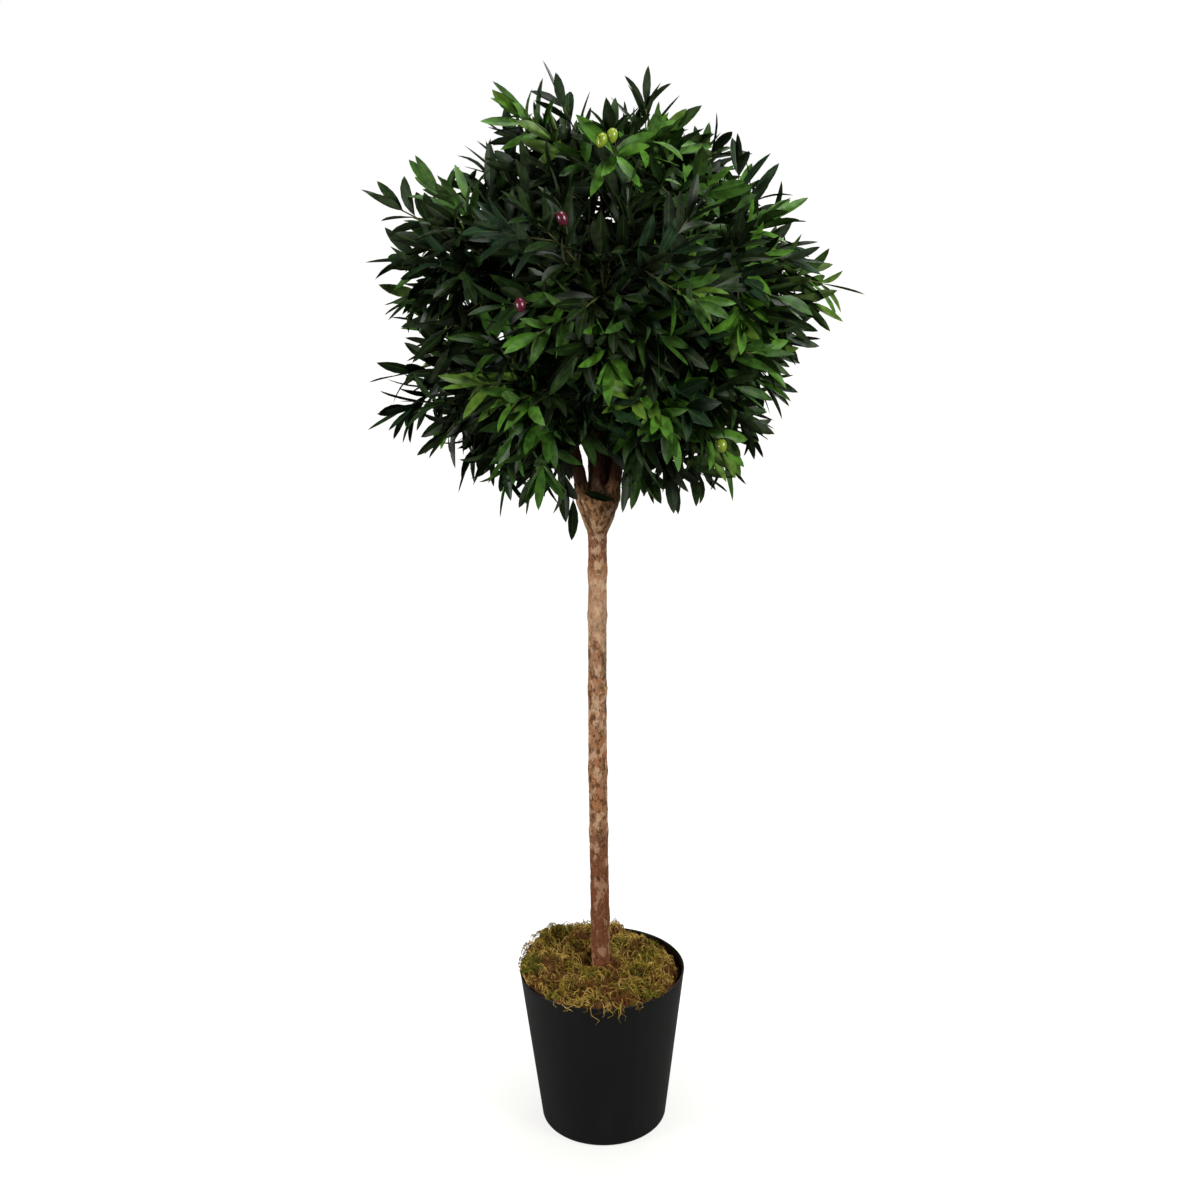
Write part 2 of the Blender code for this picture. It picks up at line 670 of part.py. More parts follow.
class Mass:
    """One mass of foliage: a stem from its bough's tip, twigs from the stem, leaves on the twigs."""

    def __init__(self, name, shapes, leaf, fruit, pieces, guides):
        self.leaf, self.fruit = leaf, fruit
        self.pieces, self.guides = pieces, guides
        self.space = Space(name, shapes)
        self.rng = random.Random(f"{SEED} {name}")
        self.out = toward(*MASSES[name])
        carrier = next(k for k, v in {**BOUGHS, **LIMBS}.items() if v[0] == name)
        points, _ = shapes[carrier]
        ahead = (points[-1] - points[-2]).normalized()
        foot = points[-1] + ahead * GAP
        end = CROWN_CENTRE + self.out * (reach(self.out) - LEAF_LENGTH * 1.1)
        self.line = (foot, foot + ahead * (end - foot).length * 0.5, end)
        tier = name.split("_")[0]
        self.most_twigs = TWIGS[tier]
        self.droop = Vector((0.0, 0.0, DROOP[tier]))
        self.twigs = []
        self.corners, self.faces, self.placed = [], [], None

    def grow(self):
        points = sweep(*self.line, 3)
        radii = taper(TIP_RADIUS * 0.95, TWIG_TIP_RADIUS, len(points))
        stem = tube("stem", points, radii, 4, self.pieces, self.guides)
        self.twigs.append((points, LEAF_LENGTH))
        self.add_core()
        for target in self.targets():
            self.twig_to(target)
        for points, last in self.twigs:
            self.tip_leaf(points, last)
        for points, _ in self.twigs:
            self.leaf_pairs(points)
        for compass, height, share in FRUIT:
            direction = toward(compass, height)
            place = CROWN_CENTRE + direction * reach(direction) * share
            if self.space.holds(place, margin=FRUIT_WIDTH):
                self.hang_fruit(place)
        return stem

    def add_core(self):
        """The dense heart of the mass, lumpy, and drawn in where it would leave the space."""
        mesh = bpy.data.meshes.new("core")
        bm = bmesh.new()
        bmesh.ops.create_icosphere(bm, subdivisions=2, radius=1.0)
        turn = axes(self.out, Vector((0.3, 0.2, 1.0)))
        shape = Matrix.Diagonal((CORE_WIDTH, CORE_WIDTH, CORE_DEPTH))
        for vertex in bm.verts:
            arm = turn @ shape @ vertex.co
            arm *= 1.0 + 0.22 * noise.noise((self.space.heart + arm) * 22.0)
            while not self.core_fits(self.space.heart + arm):
                arm *= 0.88
            vertex.co = self.space.heart + arm
        bm.to_mesh(mesh)
        bm.free()
        add_object("core", mesh, self.pieces)

    def core_fits(self, spot):
        inside = spot.lerp(self.space.heart, 0.25)
        return self.space.holds(spot, margin=0.004) and self.space.clears_limbs([spot, inside], 0.006)

    def targets(self):
        """Where the twigs' last leaves end: the sprigs' tips, then evenly spread over the space."""
        tips = [CROWN_CENTRE + way * (length - 0.002) for way, length in ALL_SPRIGS]
        found = [tip for tip in tips if self.space.holds(tip)]
        while len(found) < self.most_twigs:
            found.append(self.roomiest(80, found))
        return found

    def roomiest(self, tries, found):
        """Of that many seeded spots under the crown's surface, the one farthest from those found."""
        spots = []
        while len(spots) < tries:
            way = Vector([self.rng.gauss(0, 1) for _ in range(3)]).normalized()
            way = (way * 0.9 + self.out * 0.4 + self.droop).normalized()
            spot = CROWN_CENTRE + way * reach(way) * (1.0 - 0.14 * self.rng.random() ** 2)
            if self.space.holds(spot, margin=0.003):
                spots.append(spot)
        others = found + [self.line[0]]
        return max(spots, key=lambda spot: min((spot - other).length for other in others))

    def twig_to(self, target):
        """A twig that leaves the stem at an easy angle and ends one leaf short of its target."""
        foot, _, end = self.line
        whole = end - foot
        share = (target - foot).dot(whole) / whole.length_squared
        aside = (target - foot - whole * share).length
        share -= 0.75 * aside / whole.length
        share = max(TWIG_ROOM / whole.length, share)
        for shift in TWIG_SHIFTS:
            root = bend(*self.line, min(0.90, share + shift))
            tip = target - (target - root).normalized() * LEAF_LENGTH * 0.90
            if (tip - root).length < 0.03:
                tip = root.lerp(target, 0.35)
            lift = (self.out * 0.25 + Vector((0, 0, 0.3))) * 0.1 * (tip - root).length
            knee = root.lerp(tip, 0.5) + lift
            if self.twig_fits([bend(root, knee, tip, i / 12) for i in range(13)]):
                steps = 2 if (tip - root).length > 0.09 else 1
                points = [bend(root, knee, tip, i / steps) for i in range(steps + 1)]
                radii = taper(TWIG_RADIUS, TWIG_TIP_RADIUS, steps + 1)
                tube("twig", points, radii, 3, self.pieces, self.guides)
                self.twigs.append((points, (target - tip).length))
                self.keep_clear_of_twig(points)
                return

    def twig_fits(self, spots):
        inside = all(self.space.holds(spot, margin=TWIG_RADIUS) for spot in spots)
        return inside and self.space.clears_limbs(spots, TWIG_RADIUS + 0.001)

    def keep_clear_of_twig(self, points):
        """Puts the twig among the faces that leaves may not cross, as two crossed strips."""
        for a, b in zip(points, points[1:]):
            side = (b - a).orthogonal().normalized() * TWIG_RADIUS
            for way in (side, side.cross((b - a).normalized())):
                self.add_face([a + way, b + way, b - way, a - way])

    def add_face(self, corners):
        first = len(self.corners)
        self.corners += corners
        self.faces.append(list(range(first, first + len(corners))))
        self.placed = BVHTree.FromPolygons(self.corners, self.faces)

    def twig_end(self, points):
        """The way a twig ends, and the level way across it."""
        tangent = (points[-1] - points[-2]).normalized()
        return tangent, tangent.cross(Vector((0.0, 0.0, 1.0))).normalized()

    def tip_leaf(self, points, last):
        tangent, flat = self.twig_end(points)
        self.add_leaf(points[-1] - tangent * TIP_LEAF_SINK, tangent, flat, 0, last + TIP_LEAF_SINK)

    def leaf_pairs(self, points):
        """Opposite pairs near the twig's end, each turned a quarter from the one before."""
        tangent, side = self.twig_end(points)
        side.rotate(Matrix.Rotation(self.rng.uniform(0, math.pi), 3, tangent))
        pairs = 2 if self.rng.random() < INNER_PAIRS else 1
        for back, spread in list(zip(PAIR_BACK, LEAF_SPREAD))[:pairs]:
            base = points[-1] - tangent * back
            for sign in (1, -1):
                self.add_leaf(base, tangent, side * sign, spread)
            side = side.cross(tangent).normalized()

    def add_leaf(self, base, tangent, side, spread, wanted=None):
        """Adds the first leaf that fits, turned or smaller where it would leave the space."""
        angle = math.radians(spread)
        for size in LEAF_SIZES:
            for turn in LEAF_TURNS:
                aside = side.copy()
                aside.rotate(Matrix.Rotation(math.radians(turn), 3, tangent))
                along = tangent * math.cos(angle) + aside * math.sin(angle)
                roll = math.radians(self.rng.uniform(-LEAF_ROLL, LEAF_ROLL)) if spread else 0.0
                lie = axes(along, tangent if spread else aside) @ Matrix.Rotation(roll, 3, "Z")
                length = wanted or LEAF_LENGTH * self.rng.uniform(0.92, 1.06) * size
                if self.leaf_fits(base, lie, length, LEAF_WIDTH * size, 0.012 if wanted else 0.003):
                    self.place_leaf(base, lie, length, LEAF_WIDTH * size)
                    return

    def leaf_fits(self, base, turn, length, width, slack):
        outline = leaf_outline(base, turn, length, width)
        if not all(self.space.holds(corner, slack) for corner in outline[2:]):
            return False
        if self.placed and self.placed.overlap(BVHTree.FromPolygons(outline, [range(len(outline))])):
            return False
        spots = [
            base + turn @ Vector((across * half_width(along) * width, 0.0, along * length))
            for along in (0.1, 0.2, 0.3, 0.38, 0.44, 0.5, 0.58, 0.66, 0.75, 0.84, 0.92, 1.0)
            for across in (-1, 0, 1)
        ]
        return self.space.clears_limbs(spots, 0.0045)

    def place_leaf(self, base, turn, length, width):
        leaf = add_object("leaf", self.leaf, self.pieces)
        scale = Matrix.Diagonal((width, LEAF_THICKNESS, length))
        leaf.matrix_world = Matrix.Translation(base) @ (turn @ scale).to_4x4()
        self.add_face(leaf_outline(base, turn, length, width))

    def hang_fruit(self, place):
        """An olive on a short stalk from the nearest twig."""
        spots = [
            a.lerp(b, share)
            for points, _ in self.twigs
            for a, b in zip(points, points[1:])
            for share in (0.3, 0.7)
        ]
        root = min(spots, key=lambda spot: (spot - place).length)
        stalk = place - root
        if stalk.length < 0.012:
            place = root + self.out * 0.014
            stalk = place - root
        tube("stalk", [root, place], [0.0014, 0.0012], 3, self.pieces, self.guides)
        olive = add_object("olive", self.fruit, self.pieces)
        hang = (stalk.normalized() + Vector((0, 0, -0.4))).normalized()
        scale = Matrix.Diagonal((FRUIT_WIDTH, FRUIT_WIDTH, FRUIT_LENGTH)).to_4x4()
        olive.matrix_world = (
            Matrix.Translation(place - hang * 0.002) @ axes(hang, self.out).to_4x4() @ scale
        )


def keep_largest(mesh):
    """Drops the loose scraps, and the sealed hollows, that a Boolean leaves."""
    bm = bmesh.new()
    bm.from_mesh(mesh)
    groups, left = [], set(bm.faces)
    while left:
        group, todo = set(), [next(iter(left))]
        while todo:
            face = todo.pop()
            if face not in group:
                group.add(face)
                todo += [other for edge in face.edges for other in edge.link_faces]
        left -= group
        groups.append(group)
    largest = max(groups, key=len)
    scraps = [face for face in bm.faces if face not in largest]
    bmesh.ops.delete(bm, geom=scraps, context="FACES")
    bm.to_mesh(mesh)
    bm.free()


def make_mass(name, shapes, leaf, fruit, collection, guides, material):
    """Grows the mass in a collection of its own, and fuses it into one solid."""
    pieces = make_collection("pieces_" + name)
    stem = Mass(name, shapes, leaf, fruit, pieces, guides).grow()
    pieces.objects.unlink(stem)
    stem.name = "foliage_" + name
    collection.objects.link(stem)
    stem.data.materials.append(material)
    join = stem.modifiers.new("Fuse", "BOOLEAN")
    join.operation = "UNION"
    join.operand_type = "COLLECTION"
    join.collection = pieces
    join.solver = "MANIFOLD"
    replace_by_result(stem)
    for piece in list(pieces.objects):
        bpy.data.objects.remove(piece, do_unlink=True)
    bpy.data.collections.remove(pieces)
    keep_largest(stem.data)
    return stem


def main():
    clear_scene()
    tree = make_collection("potted_olive_tree")
    guides = make_collection("guides")
    guides.hide_render = True
    black = make_material("black_plastic", (0.012, 0.012, 0.013), 0.45)
    cement = make_material("cement", (0.35, 0.34, 0.32), 0.9)
    moss = make_material("dried_moss", (0.16, 0.13, 0.045), 0.95)
    bark = make_material("bark", (0.28, 0.15, 0.08), 0.8)
    green = make_material("leaf_green", (0.035, 0.09, 0.022), 0.5)

    make_pot(tree, black)
    make_fill(tree, cement)
    make_moss(tree, moss)
    make_stem(tree, guides, bark)
    shapes = limb_shapes()
    make_limbs(shapes, tree, guides, bark)
    leaf, fruit = leaf_mesh(), fruit_mesh()
    for name in MASSES:
        make_mass(name, shapes, leaf, fruit, tree, guides, green)


main()
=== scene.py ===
"""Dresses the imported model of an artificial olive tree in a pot.

The pot, the moss, one continuous piece of bark, and the foliage, which grows from the boughs' tips by
the same rule as the solids and is carried on to finer twigs and life-size leaves.
"""

import collections
import functools
import json
import math
import random

import bmesh
import bpy
import numpy as np
from bpy.props import FloatProperty, FloatVectorProperty, IntProperty, PointerProperty
from mathutils import Matrix, Vector, noise
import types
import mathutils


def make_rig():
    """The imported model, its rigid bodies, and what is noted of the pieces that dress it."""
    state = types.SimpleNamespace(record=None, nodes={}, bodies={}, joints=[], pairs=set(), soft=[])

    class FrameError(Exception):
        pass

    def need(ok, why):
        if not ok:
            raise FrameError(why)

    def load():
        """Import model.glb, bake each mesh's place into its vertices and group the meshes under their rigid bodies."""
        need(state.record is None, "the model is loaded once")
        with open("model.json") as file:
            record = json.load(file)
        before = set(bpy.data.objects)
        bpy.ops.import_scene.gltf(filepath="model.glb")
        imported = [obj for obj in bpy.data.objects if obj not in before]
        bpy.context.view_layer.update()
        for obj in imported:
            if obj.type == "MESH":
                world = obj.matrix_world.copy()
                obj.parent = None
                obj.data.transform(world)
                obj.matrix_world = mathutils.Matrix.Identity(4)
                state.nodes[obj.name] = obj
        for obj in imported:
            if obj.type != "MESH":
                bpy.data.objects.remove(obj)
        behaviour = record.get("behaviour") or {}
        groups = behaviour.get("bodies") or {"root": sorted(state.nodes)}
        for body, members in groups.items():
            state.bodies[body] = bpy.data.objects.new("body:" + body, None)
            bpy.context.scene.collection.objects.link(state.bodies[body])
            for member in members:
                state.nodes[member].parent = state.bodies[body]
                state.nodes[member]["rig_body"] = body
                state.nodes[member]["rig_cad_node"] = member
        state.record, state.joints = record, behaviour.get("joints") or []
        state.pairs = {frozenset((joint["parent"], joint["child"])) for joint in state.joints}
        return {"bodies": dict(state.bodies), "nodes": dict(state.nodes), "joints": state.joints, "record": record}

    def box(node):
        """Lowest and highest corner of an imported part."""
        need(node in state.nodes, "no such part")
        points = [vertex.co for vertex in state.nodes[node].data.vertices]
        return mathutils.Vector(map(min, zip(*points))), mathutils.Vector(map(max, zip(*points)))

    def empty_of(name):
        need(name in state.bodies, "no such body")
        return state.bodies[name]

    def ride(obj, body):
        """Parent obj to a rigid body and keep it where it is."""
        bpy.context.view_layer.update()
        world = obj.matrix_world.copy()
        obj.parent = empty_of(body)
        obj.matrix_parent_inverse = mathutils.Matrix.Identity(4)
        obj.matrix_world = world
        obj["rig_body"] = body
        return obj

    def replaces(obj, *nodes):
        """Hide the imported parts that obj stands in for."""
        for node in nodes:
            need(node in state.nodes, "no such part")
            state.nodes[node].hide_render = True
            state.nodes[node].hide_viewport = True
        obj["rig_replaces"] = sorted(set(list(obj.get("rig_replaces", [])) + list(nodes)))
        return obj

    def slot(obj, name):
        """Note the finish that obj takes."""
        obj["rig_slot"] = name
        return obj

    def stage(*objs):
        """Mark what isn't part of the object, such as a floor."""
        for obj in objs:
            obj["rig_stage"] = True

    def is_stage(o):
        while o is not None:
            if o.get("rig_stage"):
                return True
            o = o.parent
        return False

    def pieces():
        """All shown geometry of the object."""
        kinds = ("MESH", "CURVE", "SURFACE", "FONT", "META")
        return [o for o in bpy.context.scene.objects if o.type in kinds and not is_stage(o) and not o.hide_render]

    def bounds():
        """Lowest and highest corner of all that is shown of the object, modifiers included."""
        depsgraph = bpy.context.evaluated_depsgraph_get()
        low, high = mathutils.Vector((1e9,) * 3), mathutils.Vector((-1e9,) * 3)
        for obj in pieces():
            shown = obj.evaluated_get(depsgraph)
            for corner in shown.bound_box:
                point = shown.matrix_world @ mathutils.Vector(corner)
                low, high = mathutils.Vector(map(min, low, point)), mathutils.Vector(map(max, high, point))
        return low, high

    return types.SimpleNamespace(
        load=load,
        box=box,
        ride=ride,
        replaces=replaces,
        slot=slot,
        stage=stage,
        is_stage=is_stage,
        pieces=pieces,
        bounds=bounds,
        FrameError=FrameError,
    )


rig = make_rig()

bl_info = {
    "name": "Potted olive tree",
    "version": (1, 0, 0),
    "blender": (4, 5, 0),
    "location": "3D View > Sidebar > Olive tree",
    "description": "Dresses the packed model of an artificial olive tree in a pot",
    "category": "Object",
}

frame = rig.load()
CAD_BOX = [list(corner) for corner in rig.bounds()]
SIZE_FILE = "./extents.json"

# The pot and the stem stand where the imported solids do.
POT_TOP_RADIUS, _, POT_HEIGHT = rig.box("pot")[1]
HEAD_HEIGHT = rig.box("trunk")[1].z
FILL_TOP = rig.box("pot_fill")[1].z
GOLDEN_TURN = math.pi * (3 - math.sqrt(5))

# ---- the growth rule's own sizes, in metres and degrees: those of the solids

GAP = 0.0003
POT_BASE_RADIUS = 0.0930
POT_WALL = 0.0025
POT_FLOOR = 0.003
POT_CORNER = 0.006
MOSS_SWELL = 0.019
MOSS_LEVEL = 0.005
MOSS_LUMPS = ((38.0, 0.0085), (90.0, 0.0045))
MOSS_HEAPED = (140, 0.0075)
MOSS_SUNK = (22, 0.016)
MOSS_SUNK_ARC = (57, 32)
MOSS_SUNK_RING = (0.70, 0.92)
MOSS_TUFT = (127, 0.104, 0.014, 0.014)

STEM_BASE_RADIUS = 0.0130
STEM_NECK_RADIUS = 0.0120
NECK_HEIGHT = 0.919
HEAD_RADIUS = 0.0290
HEAD_FLARE = 0.68
STEM_FOOT_X = -0.0010
STEM_LEAN = 0.0045
STEM_BOW = -0.0030
KNOT_HEIGHTS = (0.335, 0.470, 0.565, 0.690, 0.800, 0.862)
KNOT_SWELL = 0.0012
KNOT_LENGTH = 0.010

CROWN_CENTRE = Vector((0.014, 0.0, 1.2255))
CROWN_RADIUS = 0.288
CELL_GAP = 0.0010
HEART_SHARE = 0.57
BOUGH_SHARE = 0.34
BOUGH_RING = HEAD_RADIUS - 0.0085
BOUGH_SPLAY = 0.028
LIMB_RADIUS = 0.0062
TIP_RADIUS = 0.0042
WINDOW_LEFT = -0.026
WINDOW_RIGHT = 0.034
WINDOW_TOP = 1.030
WINDOW_SLOPE = 0.12
CHINK_LEFT = -0.027
CHINK_RIGHT = -0.008
CHINK_TOP = 1.037
CHINK_SLOPE = 0.225
BARE_TOP = 0.958
BARE_ROOM = 0.078
TWIG_ROOM = 0.011
TWIG_SHIFTS = (0.0, 0.15, 0.3, 0.45)
SEED = 7

# Masses of foliage: compass angle from +X, height angle
MASSES = {
    "top": (0, 90),
    "upper_back_right": (54, 32),
    "upper_back_left": (126, 35),
    "upper_left": (198, 22),
    "upper_front": (270, 11),
    "upper_right": (342, 20),
    "lower_right": (18, -30),
    "lower_back": (90, -20),
    "lower_left": (162, -30),
    "lower_front_left": (233, -35),
    "lower_front_right": (307, -37),
}
# Boughs on the head: the mass each one carries, its radius at the foot, the side it stands on
BOUGHS = {
    "leader": ("top", 0.0108, None),
    "back_right": ("upper_back_right", 0.0078, 54),
    "back_left": ("upper_back_left", 0.0074, 102),
    "left": ("upper_left", 0.0085, 198),
    "right": ("upper_right", 0.0084, 342),
}
# Side limbs: the mass each one carries, the bough it leaves, how far along
LIMBS = {
    "front": ("upper_front", "leader", 0.38),
    "low_right": ("lower_right", "right", 0.42),
    "low_back": ("lower_back", "back_right", 0.36),
    "low_left": ("lower_left", "left", 0.44),
    "low_front_left": ("lower_front_left", "left", 0.30),
    "low_front_right": ("lower_front_right", "right", 0.28),
}
HEART_TWIGS = 18
MAIN_TWIGS = {"top": 9, "upper": 10, "lower": 12}
DROOP = {"top": 0.0, "upper": 0.0, "lower": -0.30}

# Stray leaves by the head, each on a short twig: the twig's foot, the leaf's foot and tip
STRAYS = (
    ((-0.0260, -0.0100, 0.994), (-0.0300, -0.0240, 0.974), (-0.0310, -0.0280, 0.912)),
    ((-0.0240, -0.0140, 0.992), (-0.0175, -0.0360, 0.984), (0.0225, -0.0385, 0.974)),
)
STRAYS_ON = "lower_front_left"
# Sprigs that stand out of the ball: angle seen from the front, reach from the crown's centre, and how
# far in front of it
SPRIGS = (
    (3, 0.344, 0.0),
    (17, 0.291, 0.0),
    (28, 0.298, 0.0),
    (39, 0.289, 0.0),
    (64, 0.285, 0.0),
    (77, 0.276, 0.0),
    (103, 0.319, 0.0),
    (115, 0.317, 0.0),
    (142, 0.314, 0.0),
    (153, 0.348, 0.0),
    (168, 0.318, 0.0),
    (180, 0.292, 0.0),
    (196, 0.325, 0.0),
    (206, 0.355, 0.0),
    (218, 0.310, 0.0),
    (231, 0.317, 0.0),
    (243, 0.317, 0.0),
    (262, 0.300, 0.075),
    (277, 0.272, 0.070),
    (290, 0.285, 0.050),
    (304, 0.316, 0.0),
    (317, 0.296, 0.0),
    (352, 0.290, 0.0),
    (357, 0.318, 0.0),
)
SPRIG_WIDTH = 7
SIDE_SPRIGS = 34
SIDE_SPRIG_REACH = (0.292, 0.322)
# Swells and hollows of the ball seen from the front: angle, change of its reach, width
SWELLS = (
    (129, -0.055, 7),
    (96, -0.026, 8),
    (335, -0.016, 12),
    (50, -0.010, 12),
    (208, 0.018, 24),
    (270, 0.008, 24),
)
# Olives: compass angle, height angle, share of the reach, ripe or not
STALK_MOST = 0.034
OLIVES = (
    (269.6, 52.6, 1.00, False),
    (273.9, 54.2, 1.01, False),
    (260, 34, 0.90, True),
    (247, 10, 0.88, True),
    (311, -33, 0.92, False),
    (237, -26, 0.78, True),
    (60, 15, 0.90, False),
    (95, -20, 0.88, True),
    (130, 30, 0.90, False),
    (20, 40, 0.90, False),
    (165, -8, 0.88, False),
)

# ---- what the finer growth adds to that rule

# Leaf stations from its root to just short of the tip: share of the length, share of the half width
LEAF_STATIONS = (
    (0.0, 0.07),
    (0.06, 0.09),
    (0.17, 0.48),
    (0.34, 0.87),
    (0.53, 1.0),
    (0.74, 0.82),
    (0.90, 0.42),
)
# Turns in degrees and sizes that a leaf tries in turn until it fits
LEAF_TRIES = ((0, 1.0), (22, 1.0), (-22, 1.0), (48, 0.9), (-48, 0.9), (0, 0.72))
PAIR_SPREAD = (27.0, 7.0, 52.0)  # spread of the first pair, what each next pair adds, and the most
PAIR_SIZE = (0.84, 0.10)  # size of the first pair, and what each next pair adds
YOUNG_SHARE = 0.3  # how often the first pair is one tone brighter
LAST_LEAF = 0.96  # length of the leaf at a main twig's tip, as a share of the mean
LAST_SIDE_LEAF = 0.8
LAST_SPREAD = 4  # degrees between the twig and the leaf at its tip
BARE_STEM, BARE_TWIG, BARE_SIDE = 0.55, 0.28, 0.15  # share without leaves at the root
STEM_SHORT = 1.9  # how many leaf lengths under the surface a mass's stem ends
STEM_TIP_RADIUS = 0.0024
TWIG_TIP_RADIUS = 0.0011
SIDE_TWIG_RADII = (0.0014, 0.0009)
STRAY_TWIG_RADII = (0.0010, 0.0008)
TWIG_STEP, SIDE_TWIG_STEP = 0.016, 0.018
TWIG_CLEAR, LEAF_CLEAR = 0.003, 0.006  # room between twigs or leaves and the wood
SIDE_TWIG_ANGLE = (38, 58)
SIDE_TWIG_TRIES = 5
SIDE_TWIG_BEND = 0.14  # how far its tip leans along its parent, as a share of its length
SIDE_TWIG_STRAY = 0.016  # how far its tip may go past its own mass
SPRAY_SLACK = (-0.022, 0.030)  # how far beyond the crown's reach a spray may go
INNER_APART = 0.36  # spacing of the sprays' ends inside the crown, as a share of that at its surface

# Leaf tones, from the darkest, and how often a spray has each: inside the crown, between, outside. Dealt by depth, the
# dark tones inside are painted shade and the bright ones outside are painted light.
TONES = ("dark", "deep", "teal", "mid", "fresh", "young")
TONE_SHARES = ((85, 15, 0, 0, 0, 0), (42, 24, 12, 18, 4, 0), (14, 19, 14, 26, 23, 4))
INSIDE, OUTSIDE = 0.60, 0.76  # shares of the crown's reach
# The shaded hollow in the front of the crown, painted as darker leaves: the way to it, how near that way, how much
# deeper a spray there counts when its tone is dealt
PAINTED_SHADE_WAY = Vector((-0.02, -0.90, 0.43))
PAINTED_SHADE_SPREAD = 0.940
PAINTED_SHADE_DEPTH = 0.43


# ---- the other pieces' own sizes

LIP_DEPTH = 0.010
FOOT_RING, FOOT_SLOPE, FOOT_RECESS = 0.004, 0.002, 0.0012
MOSS_RINGS, MOSS_SIDES = 34, 150
MOSS_TUFTS = ((75.0, 0.0050), (170.0, 0.0045), (350.0, 0.0020))  # fineness and height
MOSS_HOLLOW = (-0.023, -0.002, 0.011, 0.013)  # beside the stem: x, y, width and depth
MOSS_LAPS = ((128, 215, 0.0022), (215, 322, 0.0020))  # from angle, to angle, how far over the rim
MOSS_SHORT = 0.011  # how far short of the rim it ends elsewhere
STRAND_STEPS = 6
MOSS_TONES = ("straw", "olive", "green", "brown")
# The mix of those tones in a clump, by how high the noise is there
MOSS_MIXES = ((-0.10, (3, 3, 3, 3, 1, 0)), (0.14, (0, 0, 0, 1, 1, 3)), (1.0, (1, 1, 2, 2, 0)))
STRAND_CLIMB = (0.002, 0.0095)
HANG_SIDE, HANG_SIDES = 268, (222, 310)  # where most strands hang, and from where to where
HANG_LENGTH = 0.026
HANG_START = ((-0.012, 0.0045), (-0.004, 0.0050), (0.0012, 0.0015))  # out from the rim, and up
STEM_SIDES, LIMB_SIDES = 28, 16
HEAD_SINK, LIMB_SINK = 0.016, 0.001  # how deep a bough's or limb's foot is sunk
SADDLE = 0.020  # height of the wood between the boughs' feet
FOOT_FLARE, LIMB_FLARE = 0.38, 0.25
FLARE_LENGTH = 0.020
STALK_RADII = (0.0008, 0.0007, 0.0007)
LAMPS = {
    "key": (1.9, -1.7, 2.5),
    "fill": (-2.3, -1.2, 1.5),
    "top": (0.3, 0.2, 3.4),
    "back": (1.3, 2.3, 2.2),
}
# Painted shadow: nearer the pot than this, the floor glows dimmer, a painted soft shadow round the pot.
PAINTED_SHADOW_EDGE = 0.30  # how far from the middle the floor's glow has risen to its full


# ---------------------------------------------------------------- settings


def length(name, description, default):
    return FloatProperty(name=name, description=description, default=default, unit="LENGTH", precision=4)


def share(name, description, default):
    return FloatProperty(
        name=name, description=description, default=default, min=0.0, max=1.0, subtype="FACTOR"
    )


def degrees(name, description, default):
    return FloatProperty(name=name, description=description, default=math.radians(default), subtype="ANGLE")


def number(name, description, default):
    return FloatProperty(name=name, description=description, default=default)


def count(name, description, default):
    return IntProperty(name=name, description=description, default=default, min=1)


def colour(name, description, default):
    return FloatVectorProperty(
        name=name, description=description, default=default, subtype="COLOR", size=3, min=0.0, max=1.0
    )


class PotSettings(bpy.types.PropertyGroup):
    """Sizes and finish of the pot and its filling."""

    segments: count("Segments", "Faces round the pot", 128)
    lip: length("Lip", "How far the rounded lip stands out of the wall", 0.0011)
    heel: length("Heel", "Height of the rounded corner at the foot", 0.0100)
    seam_angle: degrees("Seam angle", "Compass angle of the mould seam", 295)
    seam_height: length("Seam height", "How far the mould seam stands out", 0.0007)
    black: colour("Plastic", "Colour of the pot", (0.0028, 0.0029, 0.0030))
    dust: colour("Dust", "Colour of the dust and scuffs on the pot", (0.0100, 0.0102, 0.0105))
    cement: colour("Filling", "Colour of the weighted filling", (0.33, 0.32, 0.30))


class MossSettings(bpy.types.PropertyGroup):
    """Sizes and colours of the moss."""

    tufts: count("Tufts", "How many tufts of strands lie on the bed", 470)
    tuft_strands: count("Strands in a tuft", "How many strands fan out of each tuft", 9)
    hanging: count("Hanging strands", "How many loose strands hang over the rim at the front", 20)
    strand_length: length("Strand length", "Mean length of a strand", 0.019)
    strand_radius: length("Strand radius", "Radius of a strand at its middle", 0.00050)
    curl: number("Curl", "How sharply a strand turns, in radians for each step", 0.45)
    straw: colour("Straw", "Pale dry strands", (0.590, 0.392, 0.094))
    olive: colour("Olive", "Yellow-green strands", (0.262, 0.194, 0.020))
    green: colour("Green", "The few fresh green strands", (0.148, 0.158, 0.016))
    brown: colour("Brown", "Old brown strands", (0.190, 0.075, 0.020))
    shade: colour("Shade", "Bottom of the bed", (0.026, 0.014, 0.005))


